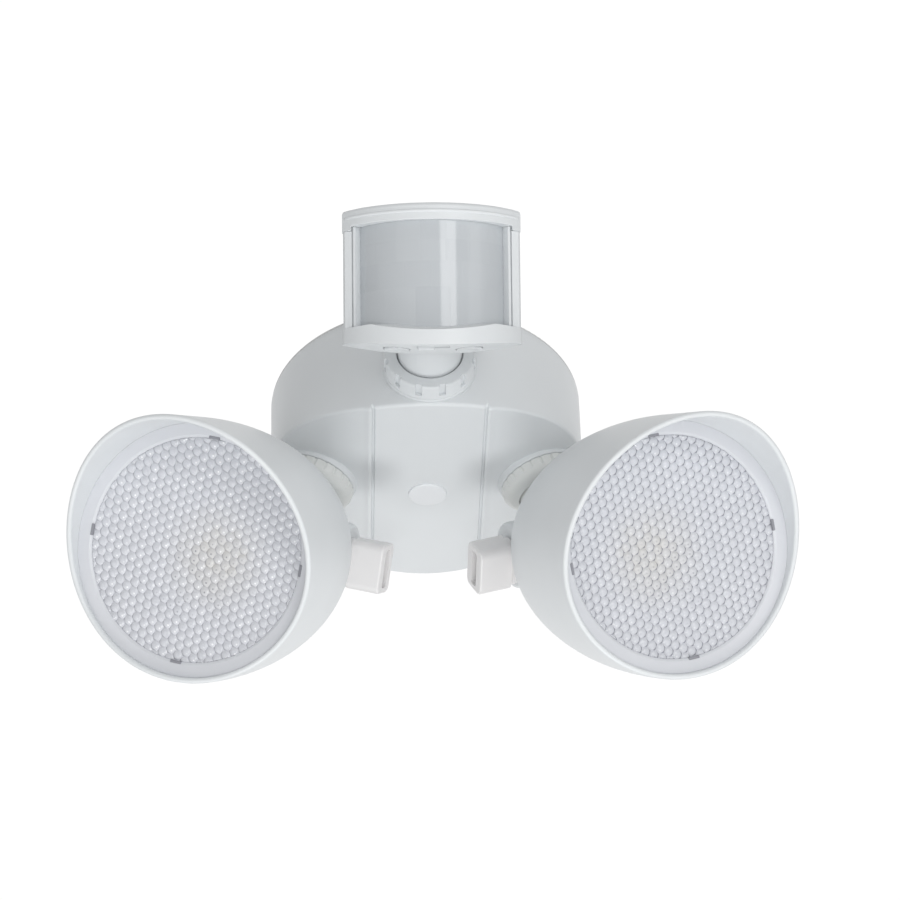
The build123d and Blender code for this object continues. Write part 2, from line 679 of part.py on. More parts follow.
with BuildPart() as right_lamp_shell:
    add(shell_outer)
    # oblique mouth, longest at the visor
    with BuildSketch(L_SIDE):
        with BuildLine():
            pts = [(y, rim_at(y)) for y in (-58, -47.2, -40, -30, -20, -10, 0, 10, 20, 30, 40, 47.2, 58)]
            Spline(*pts)
            Polyline(pts[-1], (58, 150), (-58, 150), pts[0])
        make_face()
    extrude(amount=60, both=True, mode=Mode.SUBTRACT)
    add(shell_inner, mode=Mode.SUBTRACT)
    # ledge that carries the lens
    add(disc(L, 42.6, shell_r - 1.0, 82.2, 84.4))
    # knuckle housing across the rear
    add(knuckle_block.part)
    with BuildSketch(local_plane(L, (boss_in, 0, 0), z=(-1, 0, 0), x=(0, 1, 0))):
        Circle(10.7)
    extrude(amount=20, mode=Mode.SUBTRACT)
    for x0, x1 in ((boss_in + 2.6, -pocket_half - 2.0), (pocket_half + 2.0, boss_out - 2.6)):
        with BuildSketch(local_plane(L, (x0, 0, 0), z=(1, 0, 0), x=(0, 1, 0))):
            with Locations(knuckle_c):
                Circle(knuckle_r - 2.4)
            Circle(8.0 if x0 > 0 else 5.0, mode=Mode.SUBTRACT)
        extrude(amount=x1 - x0, mode=Mode.SUBTRACT)
    with BuildSketch(L_SIDE):
        Circle(9.7)
        with BuildLine():
            Polyline((3.2, 8.75), (45.0, -6.5), (45.0, -45.0), (-1.9, -45.0), (-9.25, -1.6), close=True)
        make_face()
    extrude(amount=pocket_half, both=True, mode=Mode.SUBTRACT)
    # bolt hole and the nut's hexagon
    with BuildSketch(L_SIDE):
        Circle(bolt_r + 0.05)
    extrude(amount=40, both=True, mode=Mode.SUBTRACT)
    with BuildSketch(local_plane(L, (14.4, 0, 0), z=(1, 0, 0), x=(0, 1, 0))):
        RegularPolygon(5.05, 6, major_radius=False)
    extrude(amount=20, mode=Mode.SUBTRACT)
right_shell = right_lamp_shell.part

with BuildPart() as lens_plate:
    add(disc(L, 0, 44.9, 84.95, 87.2))
right_lens = lens_plate.part

with BuildPart() as lens_ring_part:
    with BuildSketch(L_SIDE):
        with BuildLine():
            Polyline((40.0, 87.2), (44.9, 87.2), (44.9, lens_s), (40.8, lens_s), (40.0, 88.2), close=True)
        make_face()
    revolve(axis=L_AX)
    with BuildSketch(local_plane(L, (0, 0, 86.0))):
        with PolarLocations(40.6, 4, start_angle=90):
            Rectangle(2.4, 4.4)
    extrude(amount=6, mode=Mode.SUBTRACT)
right_ring = lens_ring_part.part

with BuildPart() as lens_clip_part:
    with BuildSketch(local_plane(L, (0, 0, 87.2))):
        with PolarLocations(40.9, 4, start_angle=90):
            Rectangle(1.5, 4.1)
    extrude(amount=1.3)
right_clips = lens_clip_part.part

with BuildPart() as lens_gasket_part:
    add(disc(L, 42.9, 44.9, 84.4, 84.95))
right_gasket = lens_gasket_part.part

with BuildPart() as reflector_part:
    with BuildSketch(L_SIDE):
        with BuildLine():
            Polyline((17.8, 62.2), (17.8, 61.0), (19.2, 61.0), (41.6, 82.6), (42.3, 82.6), (42.3, 84.3), (41.0, 84.3), close=True)
        make_face()
    revolve(axis=L_AX)
right_reflector = reflector_part.part

with BuildPart() as led_board_part:
    add(disc(L, 0, 17.5, 59.6, 61.0))
right_led_board = led_board_part.part

with BuildPart() as emitter_part:
    with BuildSketch(local_plane(L, (0, 0, 61.0))):
        Rectangle(3.6, 3.6)
        with PolarLocations(7.5, 6):
            Rectangle(3.6, 3.6)
    extrude(amount=1.0)
right_emitters = emitter_part.part

with BuildPart() as heat_sink_part:
    add(disc(L, 0, 36.0, 56.6, 59.6))
    add(disc(L, 0, 12.0, 40.0, 56.6))
    with BuildSketch(local_plane(L, (0, 0, 42.0))):
        with PolarLocations(22.0, 16):
            Rectangle(24, 1.6)
    extrude(amount=14.6)
    with BuildSketch(local_plane(L, (0, 0, 38.0))):
        with PolarLocations(33.0, 3):
            Circle(1.4)
    extrude(amount=30, mode=Mode.SUBTRACT)
right_heat_sink = heat_sink_part.part

with BuildPart() as bolt_part:
    with BuildSketch(local_plane(L, (knob_end + 7.4, 0, 0), z=(1, 0, 0), x=(0, 1, 0))):
        Circle(bolt_r)
    extrude(amount=19.8 - (knob_end + 7.4))
    # flats that drive the knob
    with BuildSketch(local_plane(L, (knob_end + 7.4, 0, 0), z=(1, 0, 0), x=(0, 1, 0))):
        with Locations((0, 4.4), (0, -4.4)):
            Rectangle(8, 4)
    extrude(amount=6, mode=Mode.SUBTRACT)
right_bolt = bolt_part.part

with BuildPart() as bolt_nut_part:
    with BuildSketch(local_plane(L, (14.4, 0, 0), z=(1, 0, 0), x=(0, 1, 0))):
        RegularPolygon(5.0, 6, major_radius=False)
        Circle(bolt_r + 0.05, mode=Mode.SUBTRACT)
    extrude(amount=4.6)
right_bolt_nut = bolt_nut_part.part

with BuildPart() as washer_part:
    for s in (1, -1):
        with BuildSketch(local_plane(L, (s * (tongue_half + 0.06), 0, 0), z=(s, 0, 0), x=(0, 1, 0))):
            Circle(8.6)
            Circle(bolt_r + 0.3, mode=Mode.SUBTRACT)
        extrude(amount=pocket_half - tongue_half - 0.06)
right_washers = washer_part.part


def wing_knob(angle):
    """Hollow wing knob, open at its inner end, turned by angle about the bolt."""
    c, s_ = cos(radians(angle)), sin(radians(angle))
    frame = local_plane(L, (boss_in - 0.4, 0, 0), z=(-1, 0, 0), x=(0, c, s_))
    with BuildPart() as k:
        with BuildSketch(frame):
            Circle(9.0)
        extrude(amount=2.2)
        with BuildSketch(frame.offset(2.2)):
            RectangleRounded(knob_w, knob_t, 3.0)
        extrude(amount=boss_in - 0.4 - 2.2 - knob_end)
        fillet(k.edges().filter_by(lambda e: abs((e.center() - frame.origin).dot(frame.z_dir)
                                                 - (boss_in - 0.4 - knob_end)) < 0.01), radius=0.8)
        with BuildSketch(frame.offset(boss_in - 0.4 - knob_end)):
            RectangleRounded(knob_w - 4.4, knob_t - 8.0, 1.4)
        extrude(amount=-6.6, mode=Mode.SUBTRACT)
        with BuildSketch(frame):
            Circle(bolt_r + 0.02)
        extrude(amount=boss_in - 0.4 - knob_end - 6.2, mode=Mode.SUBTRACT)
    return k.part


right_knob = wing_knob(31.0)
left_knob_src = wing_knob(5.0)

with BuildPart() as hub_nut_part:
    with BuildSketch(local_plane(HUB, (0, 0, 0), z=(1, 0, 0), x=(0, 1, 0))):
        with BuildLine():
            Polyline((hub_spigot_r + 0.06, 2.1), (hub_nut_r, 2.1), (hub_nut_r, 4.6), (hub_nut_r - 0.9, 6.4),
                     (hub_nut_r - 2.4, 8.1), (lamp_arm_r + 0.5, 8.9), (lamp_arm_r + 0.5, 7.6),
                     (hub_spigot_r + 0.06, 7.6), close=True)
        make_face()
    revolve(axis=local_axis(HUB))
    with BuildSketch(HUB.offset(2.1)):
        with PolarLocations(hub_nut_r + 0.35, 24):
            Circle(0.75)
    extrude(amount=3.2, mode=Mode.SUBTRACT)
right_hub_nut = hub_nut_part.part

with BuildPart() as lamp_arm_part:
    add(disc(HUB, 0, 14.0, -8.7, -6.3))
    add(disc(HUB, 0, lamp_arm_r, -6.3, 10.6))
    top_edge = lamp_arm_part.edges().filter_by(GeomType.CIRCLE).filter_by(
        lambda e: abs((e.center() - HUB.origin).dot(HUB.z_dir) - 10.6) < 0.01)
    fillet(top_edge, radius=1.6)
    # flat tongue with a round eye on the tilt axis
    TONGUE = local_plane(HUB, (0, 0, pivot_h), z=(1, 0, 0), x=(0, 1, 0))
    with BuildSketch(TONGUE):
        Circle(9.1)
        with Locations((0, -(pivot_h - 8.6) / 2)):
            Rectangle(17.6, pivot_h - 8.6)
    extrude(amount=tongue_half, both=True)
    # wire way and pin hole
    add(disc(HUB, 0, 6.5, -12, 7.0), mode=Mode.SUBTRACT)
    with BuildSketch(local_plane(HUB, (0, 4.9, 6.0))):
        Circle(2.2)
    extrude(amount=44, mode=Mode.SUBTRACT)
    with BuildSketch(TONGUE):
        Circle(bolt_r + 0.06)
    extrude(amount=20, both=True, mode=Mode.SUBTRACT)
right_arm = lamp_arm_part.part

for name, solid in (("lamp_shell", right_shell), ("lamp_lens", right_lens), ("lens_ring", right_ring),
                    ("lens_clips", right_clips), ("lens_gasket", right_gasket), ("reflector", right_reflector),
                    ("led_board", right_led_board), ("led_emitters", right_emitters), ("heat_sink", right_heat_sink),
                    ("pivot_bolt", right_bolt), ("bolt_nut", right_bolt_nut), ("friction_washers", right_washers),
                    ("lock_knob", right_knob), ("hub_nut", right_hub_nut), ("swivel_arm", right_arm)):
    finish("right_" + name, solid)
    source = left_knob_src if name == "lock_knob" else solid
    with BuildPart() as left_piece:
        mirror(source, about=Plane.YZ)
    finish("left_" + name, left_piece.part)
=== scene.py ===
import bpy
import bmesh
import json
import math
import numpy as np
from mathutils import Matrix, Vector


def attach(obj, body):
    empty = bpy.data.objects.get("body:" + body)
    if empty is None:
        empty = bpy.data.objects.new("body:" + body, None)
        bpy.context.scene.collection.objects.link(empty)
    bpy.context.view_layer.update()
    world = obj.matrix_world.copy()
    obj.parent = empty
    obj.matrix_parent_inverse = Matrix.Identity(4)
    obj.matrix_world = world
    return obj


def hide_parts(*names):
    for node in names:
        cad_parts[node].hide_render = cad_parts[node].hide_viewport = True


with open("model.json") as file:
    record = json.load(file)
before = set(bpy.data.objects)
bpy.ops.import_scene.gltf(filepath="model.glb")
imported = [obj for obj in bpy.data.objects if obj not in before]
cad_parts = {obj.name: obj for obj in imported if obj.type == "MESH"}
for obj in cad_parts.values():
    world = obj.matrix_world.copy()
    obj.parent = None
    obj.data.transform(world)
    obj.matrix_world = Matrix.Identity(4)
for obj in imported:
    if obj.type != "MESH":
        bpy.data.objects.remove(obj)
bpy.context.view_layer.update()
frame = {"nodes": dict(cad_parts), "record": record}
nodes = frame["nodes"]
MM = 0.001
RAD = math.radians


# ------------------------------------------------------------------ frames
def unit(v):
    v = np.array(v, float)
    return v / np.linalg.norm(v)


HUB_AT = np.array([43.0, -2.8, -35.9])
PIVOT = np.array([54.92, 0.41, -68.65])
beam = unit((0.340, -0.7525, -0.564))
hub_dir = unit(PIVOT - HUB_AT)
visor = unit(beam * (hub_dir @ beam) - hub_dir)
outb = np.cross(visor, beam)
pitch = RAD(31.0)
LAMP = (np.column_stack([outb, visor, beam]), PIVOT)
HUB = (np.column_stack([outb, np.cross(hub_dir, outb), hub_dir]), HUB_AT)
SENS = (np.array([[1, 0, 0], [0, math.cos(pitch), -math.sin(pitch)], [0, math.sin(pitch), math.cos(pitch)]], float),
        np.array([0, -90.0, -29.0]))
COLLAR = (np.column_stack([(1, 0, 0), (0, 0, 1), (0, -1, 0)]).astype(float), np.array([0, 0, -29.0]))
ROW = (np.eye(3), np.zeros(3))


# --------------------------------------------------------------- mesh tools
def new_object(name, verts, faces, place=ROW, mirror=False, smooth=True, material=None):
    """A mesh object from points in millimetres in a local frame."""
    rot, org = place
    co = np.asarray(verts, float) @ rot.T + org
    if mirror:
        co = co * np.array([-1.0, 1.0, 1.0])
    faces = [tuple(int(i) for i in f) for f in faces]
    if mirror:
        faces = [f[::-1] for f in faces]
    me = bpy.data.meshes.new(name)
    me.from_pydata((co * MM).tolist(), [], faces)
    me.update()
    me.polygons.foreach_set("use_smooth", [smooth] * len(me.polygons))
    ob = bpy.data.objects.new(name, me)
    bpy.context.scene.collection.objects.link(ob)
    if material is not None:
        me.materials.append(material)
    return ob


def grid_faces(nu, nv, closed_u=True, start=0, flip=False):
    """Quads between nv rings of nu points, ring after ring."""
    out = []
    last = nu if closed_u else nu - 1
    for j in range(nv - 1):
        for i in range(last):
            a = start + j * nu + i
            b = start + j * nu + (i + 1) % nu
            f = (a, b, b + nu, a + nu)
            out.append(f[::-1] if flip else f)
    return out


def revolve(profile, segments, cap_start=False, cap_end=False):
    """Rings about local z from (radius, height) pairs, given from the start to the end of the skin."""
    prof = np.asarray(profile, float)
    t = 2 * math.pi * np.arange(segments) / segments
    v = np.concatenate([np.column_stack([r * np.cos(t), r * np.sin(t), np.full(segments, z)]) for r, z in prof])
    f = grid_faces(segments, len(prof))
    if cap_start:
        f.append(tuple(range(segments))[::-1])
    if cap_end:
        n0 = (len(prof) - 1) * segments
        f.append(tuple(range(n0, n0 + segments)))
    return v, f


def rounded(points, radius, steps=4, closed=False):
    """The same line with its corners rounded; radius is one number or one per corner."""
    pts = [np.array(p, float) for p in points]
    n = len(pts)
    rad = [radius] * n if np.isscalar(radius) else list(radius)
    out = []
    for i, p in enumerate(pts):
        if not closed and i in (0, n - 1):
            out.append(p)
            continue
        a, b = pts[i - 1], pts[(i + 1) % n]
        u, w = a - p, b - p
        lu, lw = np.linalg.norm(u), np.linalg.norm(w)
        if rad[i] <= 0 or lu < 1e-9 or lw < 1e-9:
            out.append(p)
            continue
        u, w = u / lu, w / lw
        ang = math.acos(max(-1, min(1, float(u @ w))))
        if ang > math.pi - 0.02:
            out.append(p)
            continue
        d = min(rad[i] / math.tan(ang / 2), 0.49 * lu, 0.49 * lw)
        r = d * math.tan(ang / 2)
        c = p + unit(u + w) * (r / math.sin(ang / 2))
        s0, s1 = p + u * d - c, p + w * d - c
        a0 = math.atan2(s0[1], s0[0])
        a1 = math.atan2(s1[1], s1[0])
        da = (a1 - a0 + math.pi) % (2 * math.pi) - math.pi
        for k in range(steps + 1):
            q = a0 + da * k / steps
            out.append(c + r * np.array([math.cos(q), math.sin(q)]))
    return np.array(out)


def loop_normals(loop):
    """Outward normals of a closed anticlockwise loop."""
    nx = np.roll(loop, -1, 0) - np.roll(loop, 1, 0)
    n = np.column_stack([nx[:, 1], -nx[:, 0]])
    return n / np.linalg.norm(n, axis=1)[:, None]


def stack(loop, layers, top=True, bottom=True):
    """A rounded slab: layers are (inset, height) pairs of a closed anticlockwise loop."""
    loop = np.asarray(loop, float)
    nor = loop_normals(loop)
    n = len(loop)
    v = []
    for inset, z in layers:
        q = loop - nor * inset
        zz = z(q) if callable(z) else np.full(n, float(z))
        v.append(np.column_stack([q, zz]))
    f = grid_faces(n, len(layers))
    if bottom:
        f.append(tuple(range(n))[::-1])
    if top:
        f.append(tuple(range((len(layers) - 1) * n, len(layers) * n)))
    return np.concatenate(v), f


def join_data(*parts):
    v, f, n = [], [], 0
    for pv, pf in parts:
        v.append(np.asarray(pv, float))
        f += [tuple(i + n for i in q) for q in pf]
        n += len(pv)
    return np.concatenate(v), f


def place_local(data, rot=None, at=(0, 0, 0)):
    v, f = data
    v = np.asarray(v, float)
    if rot is not None:
        v = v @ np.asarray(rot, float).T
    return v + np.array(at, float), f


# smooth unions on distance fields, used for moulded pieces with blended corners
def smin(a, b, k):
    h = np.clip(0.5 + 0.5 * (b - a) / k, 0, 1)
    return b * (1 - h) + a * h - k * h * (1 - h)


def smax(a, b, k):
    return -smin(-a, -b, k)


def nets(fn, lo, hi, h, relax=4):
    """Closed quad mesh of fn = 0; returns points, quads and unit normals."""
    lo = np.array(lo, float)
    n = [int(math.ceil((hi[i] - lo[i]) / h)) + 1 for i in range(3)]
    ax = [lo[i] + h * np.arange(n[i]) for i in range(3)]
    field = np.empty(n, np.float32)
    yy, zz = np.meshgrid(ax[1], ax[2], indexing="ij")
    yy, zz = yy.ravel(), zz.ravel()
    for i, x in enumerate(ax[0]):
        field[i] = fn(np.column_stack([np.full(yy.shape, x), yy, zz])).reshape(n[1], n[2])
    neg = field < 0
    c = np.zeros([m - 1 for m in n], np.uint8)
    corner = [(a, b, d) for a in (0, 1) for b in (0, 1) for d in (0, 1)]
    for a, b, d in corner:
        c += neg[a:n[0] - 1 + a, b:n[1] - 1 + b, d:n[2] - 1 + d]
    act = (c > 0) & (c < 8)
    ii, jj, kk = np.nonzero(act)
    idx = np.full(act.shape, -1, np.int64)
    idx[ii, jj, kk] = np.arange(len(ii))
    acc = np.zeros((len(ii), 3))
    cnt = np.zeros(len(ii))
    for p in corner:
        for axis in range(3):
            if p[axis]:
                continue
            q = list(p)
            q[axis] = 1
            fa = field[ii + p[0], jj + p[1], kk + p[2]].astype(float)
            fb = field[ii + q[0], jj + q[1], kk + q[2]].astype(float)
            m = (fa < 0) != (fb < 0)
            t = np.where(m, fa / np.where(m, fa - fb, 1), 0)
            pos = np.array(p, float)[None, :] + np.zeros((len(ii), 1))
            pos[:, axis] += t
            acc[m] += pos[m]
            cnt[m] += 1
    v = lo + h * (np.column_stack([ii, jj, kk]) + acc / cnt[:, None])

    def grad(p):
        g = np.empty_like(p)
        e = 0.04 * h + 0.01
        for a in range(3):
            d = np.zeros(3)
            d[a] = e
            g[:, a] = (fn(p + d) - fn(p - d)) / (2 * e)
        return g

    for _ in range(relax):
        g = grad(v)
        gg = np.maximum((g ** 2).sum(1), 0.1)
        step = g * (fn(v) / gg)[:, None]
        ln = np.linalg.norm(step, axis=1)
        step *= np.minimum(1, 0.5 * h / np.maximum(ln, 1e-9))[:, None]
        v = v - step
    quads = []
    i, j, k = np.nonzero(neg[:-1, 1:-1, 1:-1] != neg[1:, 1:-1, 1:-1])
    j, k = j + 1, k + 1
    q = np.column_stack([idx[i, j - 1, k - 1], idx[i, j, k - 1], idx[i, j, k], idx[i, j - 1, k]])
    s = neg[i, j, k]
    quads += [q[s], q[~s][:, ::-1]]
    i, j, k = np.nonzero(neg[1:-1, :-1, 1:-1] != neg[1:-1, 1:, 1:-1])
    i, k = i + 1, k + 1
    q = np.column_stack([idx[i - 1, j, k - 1], idx[i - 1, j, k], idx[i, j, k], idx[i, j, k - 1]])
    s = neg[i, j, k]
    quads += [q[s], q[~s][:, ::-1]]
    i, j, k = np.nonzero(neg[1:-1, 1:-1, :-1] != neg[1:-1, 1:-1, 1:])
    i, j = i + 1, j + 1
    q = np.column_stack([idx[i - 1, j - 1, k], idx[i, j - 1, k], idx[i, j, k], idx[i - 1, j, k]])
    s = neg[i, j, k]
    quads += [q[s], q[~s][:, ::-1]]
    g = grad(v)
    return v, np.concatenate(quads), g / np.maximum(np.linalg.norm(g, axis=1), 1e-9)[:, None]


def set_normals(ob, normals_local, place, mirror=False, keep=None):
    """Gives a moulded mesh the exact normals of its distance field."""
    rot, _ = place
    n = np.asarray(normals_local, float) @ rot.T
    if mirror:
        n = n * np.array([-1.0, 1.0, 1.0])
    if keep is not None:
        auto = np.empty(len(ob.data.vertices) * 3)
        ob.data.vertex_normals.foreach_get("vector", auto)
        auto = auto.reshape(-1, 3)
        n = np.where(keep[:, None], n, auto)
    ob.data.normals_split_custom_set_from_vertices(n.tolist())


def polish(name, width=0.3, angle=32, segments=3, weld=0.004, dissolve=2.0):
    """Rounds the edges of a CAD node with modifiers only."""
    ob = nodes[name]
    ob.data.polygons.foreach_set("use_smooth", [True] * len(ob.data.polygons))
    if ob.data.has_custom_normals:
        with bpy.context.temp_override(object=ob, active_object=ob):
            bpy.ops.mesh.customdata_custom_splitnormals_clear()
    m = ob.modifiers.new("weld", "WELD")
    m.merge_threshold = weld * MM
    m = ob.modifiers.new("flat", "DECIMATE")
    m.decimate_type = "DISSOLVE"
    m.angle_limit = RAD(dissolve)
    if width > 0:
        m = ob.modifiers.new("edge", "BEVEL")
        m.width = width * MM
        m.segments = segments
        m.limit_method = "ANGLE"
        m.angle_limit = RAD(angle)
        m.harden_normals = True
        m.use_clamp_overlap = True
        m.miter_outer = "MITER_ARC"
    m = ob.modifiers.new("normals", "WEIGHTED_NORMAL")
    m.keep_sharp = True
    m.weight = 60
    return ob


# ---------------------------------------------------------------- materials
def material(name, color, rough=0.4, vary=0.02, scale=60.0, grain=0.02, grain_scale=2600.0, metallic=0.0,
             specular=0.5, coat=0.0, alpha=None, sss=0.0, tint=(0, 0, 0), rough_vary=0.05, transmission=0.0, ior=1.49):
    m = bpy.data.materials.new(name)
    m.use_nodes = True
    nt = m.node_tree
    bsdf = nt.nodes["Principled BSDF"]
    tc = nt.nodes.new("ShaderNodeTexCoord")
    big = nt.nodes.new("ShaderNodeTexNoise")
    big.inputs["Scale"].default_value = scale
    big.inputs["Detail"].default_value = 3.0
    nt.links.new(tc.outputs["Object"], big.inputs["Vector"])
    ramp = nt.nodes.new("ShaderNodeValToRGB")
    c = np.array(color, float)
    lo = np.clip(c * (1 - vary) - np.array(tint), 0, 1)
    hi = np.clip(c * (1 + vary) + np.array(tint), 0, 1)
    ramp.color_ramp.elements[0].position = 0.3
    ramp.color_ramp.elements[1].position = 0.7
    ramp.color_ramp.elements[0].color = (*lo, 1)
    ramp.color_ramp.elements[1].color = (*hi, 1)
    nt.links.new(big.outputs["Fac"], ramp.inputs["Fac"])
    nt.links.new(ramp.outputs["Color"], bsdf.inputs["Base Color"])
    fine = nt.nodes.new("ShaderNodeTexNoise")
    fine.inputs["Scale"].default_value = grain_scale
    fine.inputs["Detail"].default_value = 2.0
    nt.links.new(tc.outputs["Object"], fine.inputs["Vector"])
    rr = nt.nodes.new("ShaderNodeMapRange")
    rr.inputs["To Min"].default_value = max(0.02, rough - rough_vary)
    rr.inputs["To Max"].default_value = min(1.0, rough + rough_vary)
    nt.links.new(fine.outputs["Fac"], rr.inputs["Value"])
    nt.links.new(rr.outputs["Result"], bsdf.inputs["Roughness"])
    if grain > 0:
        bump = nt.nodes.new("ShaderNodeBump")
        bump.inputs["Strength"].default_value = 1.0
        bump.inputs["Distance"].default_value = grain * MM
        nt.links.new(fine.outputs["Fac"], bump.inputs["Height"])
        nt.links.new(bump.outputs["Normal"], bsdf.inputs["Normal"])
    bsdf.inputs["Metallic"].default_value = metallic
    bsdf.inputs["Specular IOR Level"].default_value = specular
    bsdf.inputs["IOR"].default_value = ior
    bsdf.inputs["Coat Weight"].default_value = coat
    bsdf.inputs["Coat Roughness"].default_value = 0.08
    bsdf.inputs["Transmission Weight"].default_value = transmission
    if sss > 0:
        bsdf.inputs["Subsurface Weight"].default_value = sss
        bsdf.inputs["Subsurface Radius"].default_value = (0.004, 0.004, 0.004)
        bsdf.inputs["Subsurface Scale"].default_value = 0.4
    if alpha is not None:
        bsdf.inputs["Alpha"].default_value = alpha
    return m


M = {
    "white_shell": material("white_shell", (0.745, 0.770, 0.785), rough=0.40, vary=0.012, scale=35, grain=0.006, rough_vary=0.04),
    "white_inner": material("white_inner", (0.745, 0.770, 0.785), rough=0.46, vary=0.012, scale=35, grain=0.006),
    # plug_white is the shell white painted lighter: painted light on the domed plug
    "plug_white": material("plug_white", (0.825, 0.845, 0.865), rough=0.34, vary=0.01, scale=60, grain=0.004, rough_vary=0.03),
    "warm_white": material("warm_white", (0.765, 0.780, 0.765), rough=0.36, vary=0.015, scale=45, grain=0.004),
    "knob_white": material("knob_white", (0.795, 0.785, 0.785), rough=0.34, vary=0.015, scale=50, grain=0.004),
    "frosted_ring": material("frosted_ring", (0.685, 0.70, 0.735), rough=0.32, vary=0.01, scale=60, grain=0.003),
    "lamp_lens": material("lamp_lens", (0.80, 0.815, 0.85), rough=0.12, vary=0.008, scale=70, grain=0.0, rough_vary=0.03, specular=0.6, alpha=0.62),
    "dark_clip": material("dark_clip", (0.29, 0.295, 0.325), rough=0.5, vary=0.05, scale=300, grain=0.004),
    "reflector_white": material("reflector_white", (0.86, 0.865, 0.87), rough=0.16, vary=0.008, scale=60, grain=0.0, coat=0.4, rough_vary=0.03),
    "rubber_black": material("rubber_black", (0.035, 0.035, 0.036), rough=0.62, vary=0.12, scale=300, grain=0.01),
    "gasket_white": material("gasket_white", (0.66, 0.67, 0.67), rough=0.85, vary=0.06, scale=900, grain=0.06, grain_scale=1500),
    "zinc_steel": material("zinc_steel", (0.62, 0.62, 0.60), rough=0.34, vary=0.08, scale=220, grain=0.004, metallic=1.0, rough_vary=0.10),
    "cast_aluminium": material("cast_aluminium", (0.66, 0.66, 0.67), rough=0.48, vary=0.05, scale=300, grain=0.01, metallic=1.0, rough_vary=0.08),
    "board_green": material("board_green", (0.03, 0.17, 0.07), rough=0.36, vary=0.18, scale=260, grain=0.01),
    "board_white": material("board_white", (0.80, 0.80, 0.78), rough=0.42, vary=0.02, scale=200, grain=0.004),
    "emitter_yellow": material("emitter_yellow", (0.86, 0.66, 0.14), rough=0.30, vary=0.06, scale=900, grain=0.0),
    "component_black": material("component_black", (0.035, 0.036, 0.038), rough=0.42, vary=0.10, scale=300, grain=0.006),
    "component_blue": material("component_blue", (0.03, 0.10, 0.30), rough=0.38, vary=0.08, scale=300, grain=0.004),
    "terminal_grey": material("terminal_grey", (0.30, 0.32, 0.31), rough=0.5, vary=0.05, scale=300, grain=0.006),
    "pir_can": material("pir_can", (0.66, 0.65, 0.62), rough=0.25, vary=0.04, scale=400, grain=0.002, metallic=1.0),
}


def sensor_lens_material():
    """Frosted lens sheet with a faint grid of segments, from the sheet's own UV map."""
    m = bpy.data.materials.new("sensor_lens")
    m.use_nodes = True
    nt = m.node_tree
    bsdf = nt.nodes["Principled BSDF"]
    uv = nt.nodes.new("ShaderNodeUVMap")
    uv.uv_map = "UVMap"
    mul = nt.nodes.new("ShaderNodeVectorMath")
    mul.operation = "MULTIPLY"
    mul.inputs[1].default_value = (1.0, 1.0, 1.0)
    nt.links.new(uv.outputs["UV"], mul.inputs[0])
    fl = nt.nodes.new("ShaderNodeVectorMath")
    fl.operation = "FLOOR"
    nt.links.new(mul.outputs["Vector"], fl.inputs[0])
    wn = nt.nodes.new("ShaderNodeTexWhiteNoise")
    wn.noise_dimensions = "2D"
    nt.links.new(fl.outputs["Vector"], wn.inputs["Vector"])
    # fine rings of each segment
    fr = nt.nodes.new("ShaderNodeVectorMath")
    fr.operation = "FRACTION"
    nt.links.new(mul.outputs["Vector"], fr.inputs[0])
    sub = nt.nodes.new("ShaderNodeVectorMath")
    sub.operation = "SUBTRACT"
    sub.inputs[1].default_value = (0.5, 0.42, 0.0)
    nt.links.new(fr.outputs["Vector"], sub.inputs[0])
    ln = nt.nodes.new("ShaderNodeVectorMath")
    ln.operation = "LENGTH"
    nt.links.new(sub.outputs["Vector"], ln.inputs[0])
    ring = nt.nodes.new("ShaderNodeMath")
    ring.operation = "MULTIPLY"
    ring.inputs[1].default_value = 95.0
    nt.links.new(ln.outputs["Value"], ring.inputs[0])
    sine = nt.nodes.new("ShaderNodeMath")
    sine.operation = "SINE"
    nt.links.new(ring.outputs["Value"], sine.inputs[0])
    bump = nt.nodes.new("ShaderNodeBump")
    bump.inputs["Strength"].default_value = 0.12
    bump.inputs["Distance"].default_value = 0.01 * MM
    nt.links.new(sine.outputs["Value"], bump.inputs["Height"])
    nt.links.new(bump.outputs["Normal"], bsdf.inputs["Normal"])
    ramp = nt.nodes.new("ShaderNodeValToRGB")
    ramp.color_ramp.elements[0].color = (0.527, 0.555, 0.580, 1)
    ramp.color_ramp.elements[1].color = (0.556, 0.584, 0.607, 1)
    nt.links.new(wn.outputs["Value"], ramp.inputs["Fac"])
    nt.links.new(ramp.outputs["Color"], bsdf.inputs["Base Color"])
    tc = nt.nodes.new("ShaderNodeTexCoord")
    no = nt.nodes.new("ShaderNodeTexNoise")
    no.inputs["Scale"].default_value = 120.0
    nt.links.new(tc.outputs["Object"], no.inputs["Vector"])
    rr = nt.nodes.new("ShaderNodeMapRange")
    rr.inputs["To Min"].default_value = 0.07
    rr.inputs["To Max"].default_value = 0.12
    nt.links.new(no.outputs["Fac"], rr.inputs["Value"])
    nt.links.new(rr.outputs["Result"], bsdf.inputs["Roughness"])
    bsdf.inputs["Specular IOR Level"].default_value = 0.55
    return m


M["sensor_lens"] = sensor_lens_material()


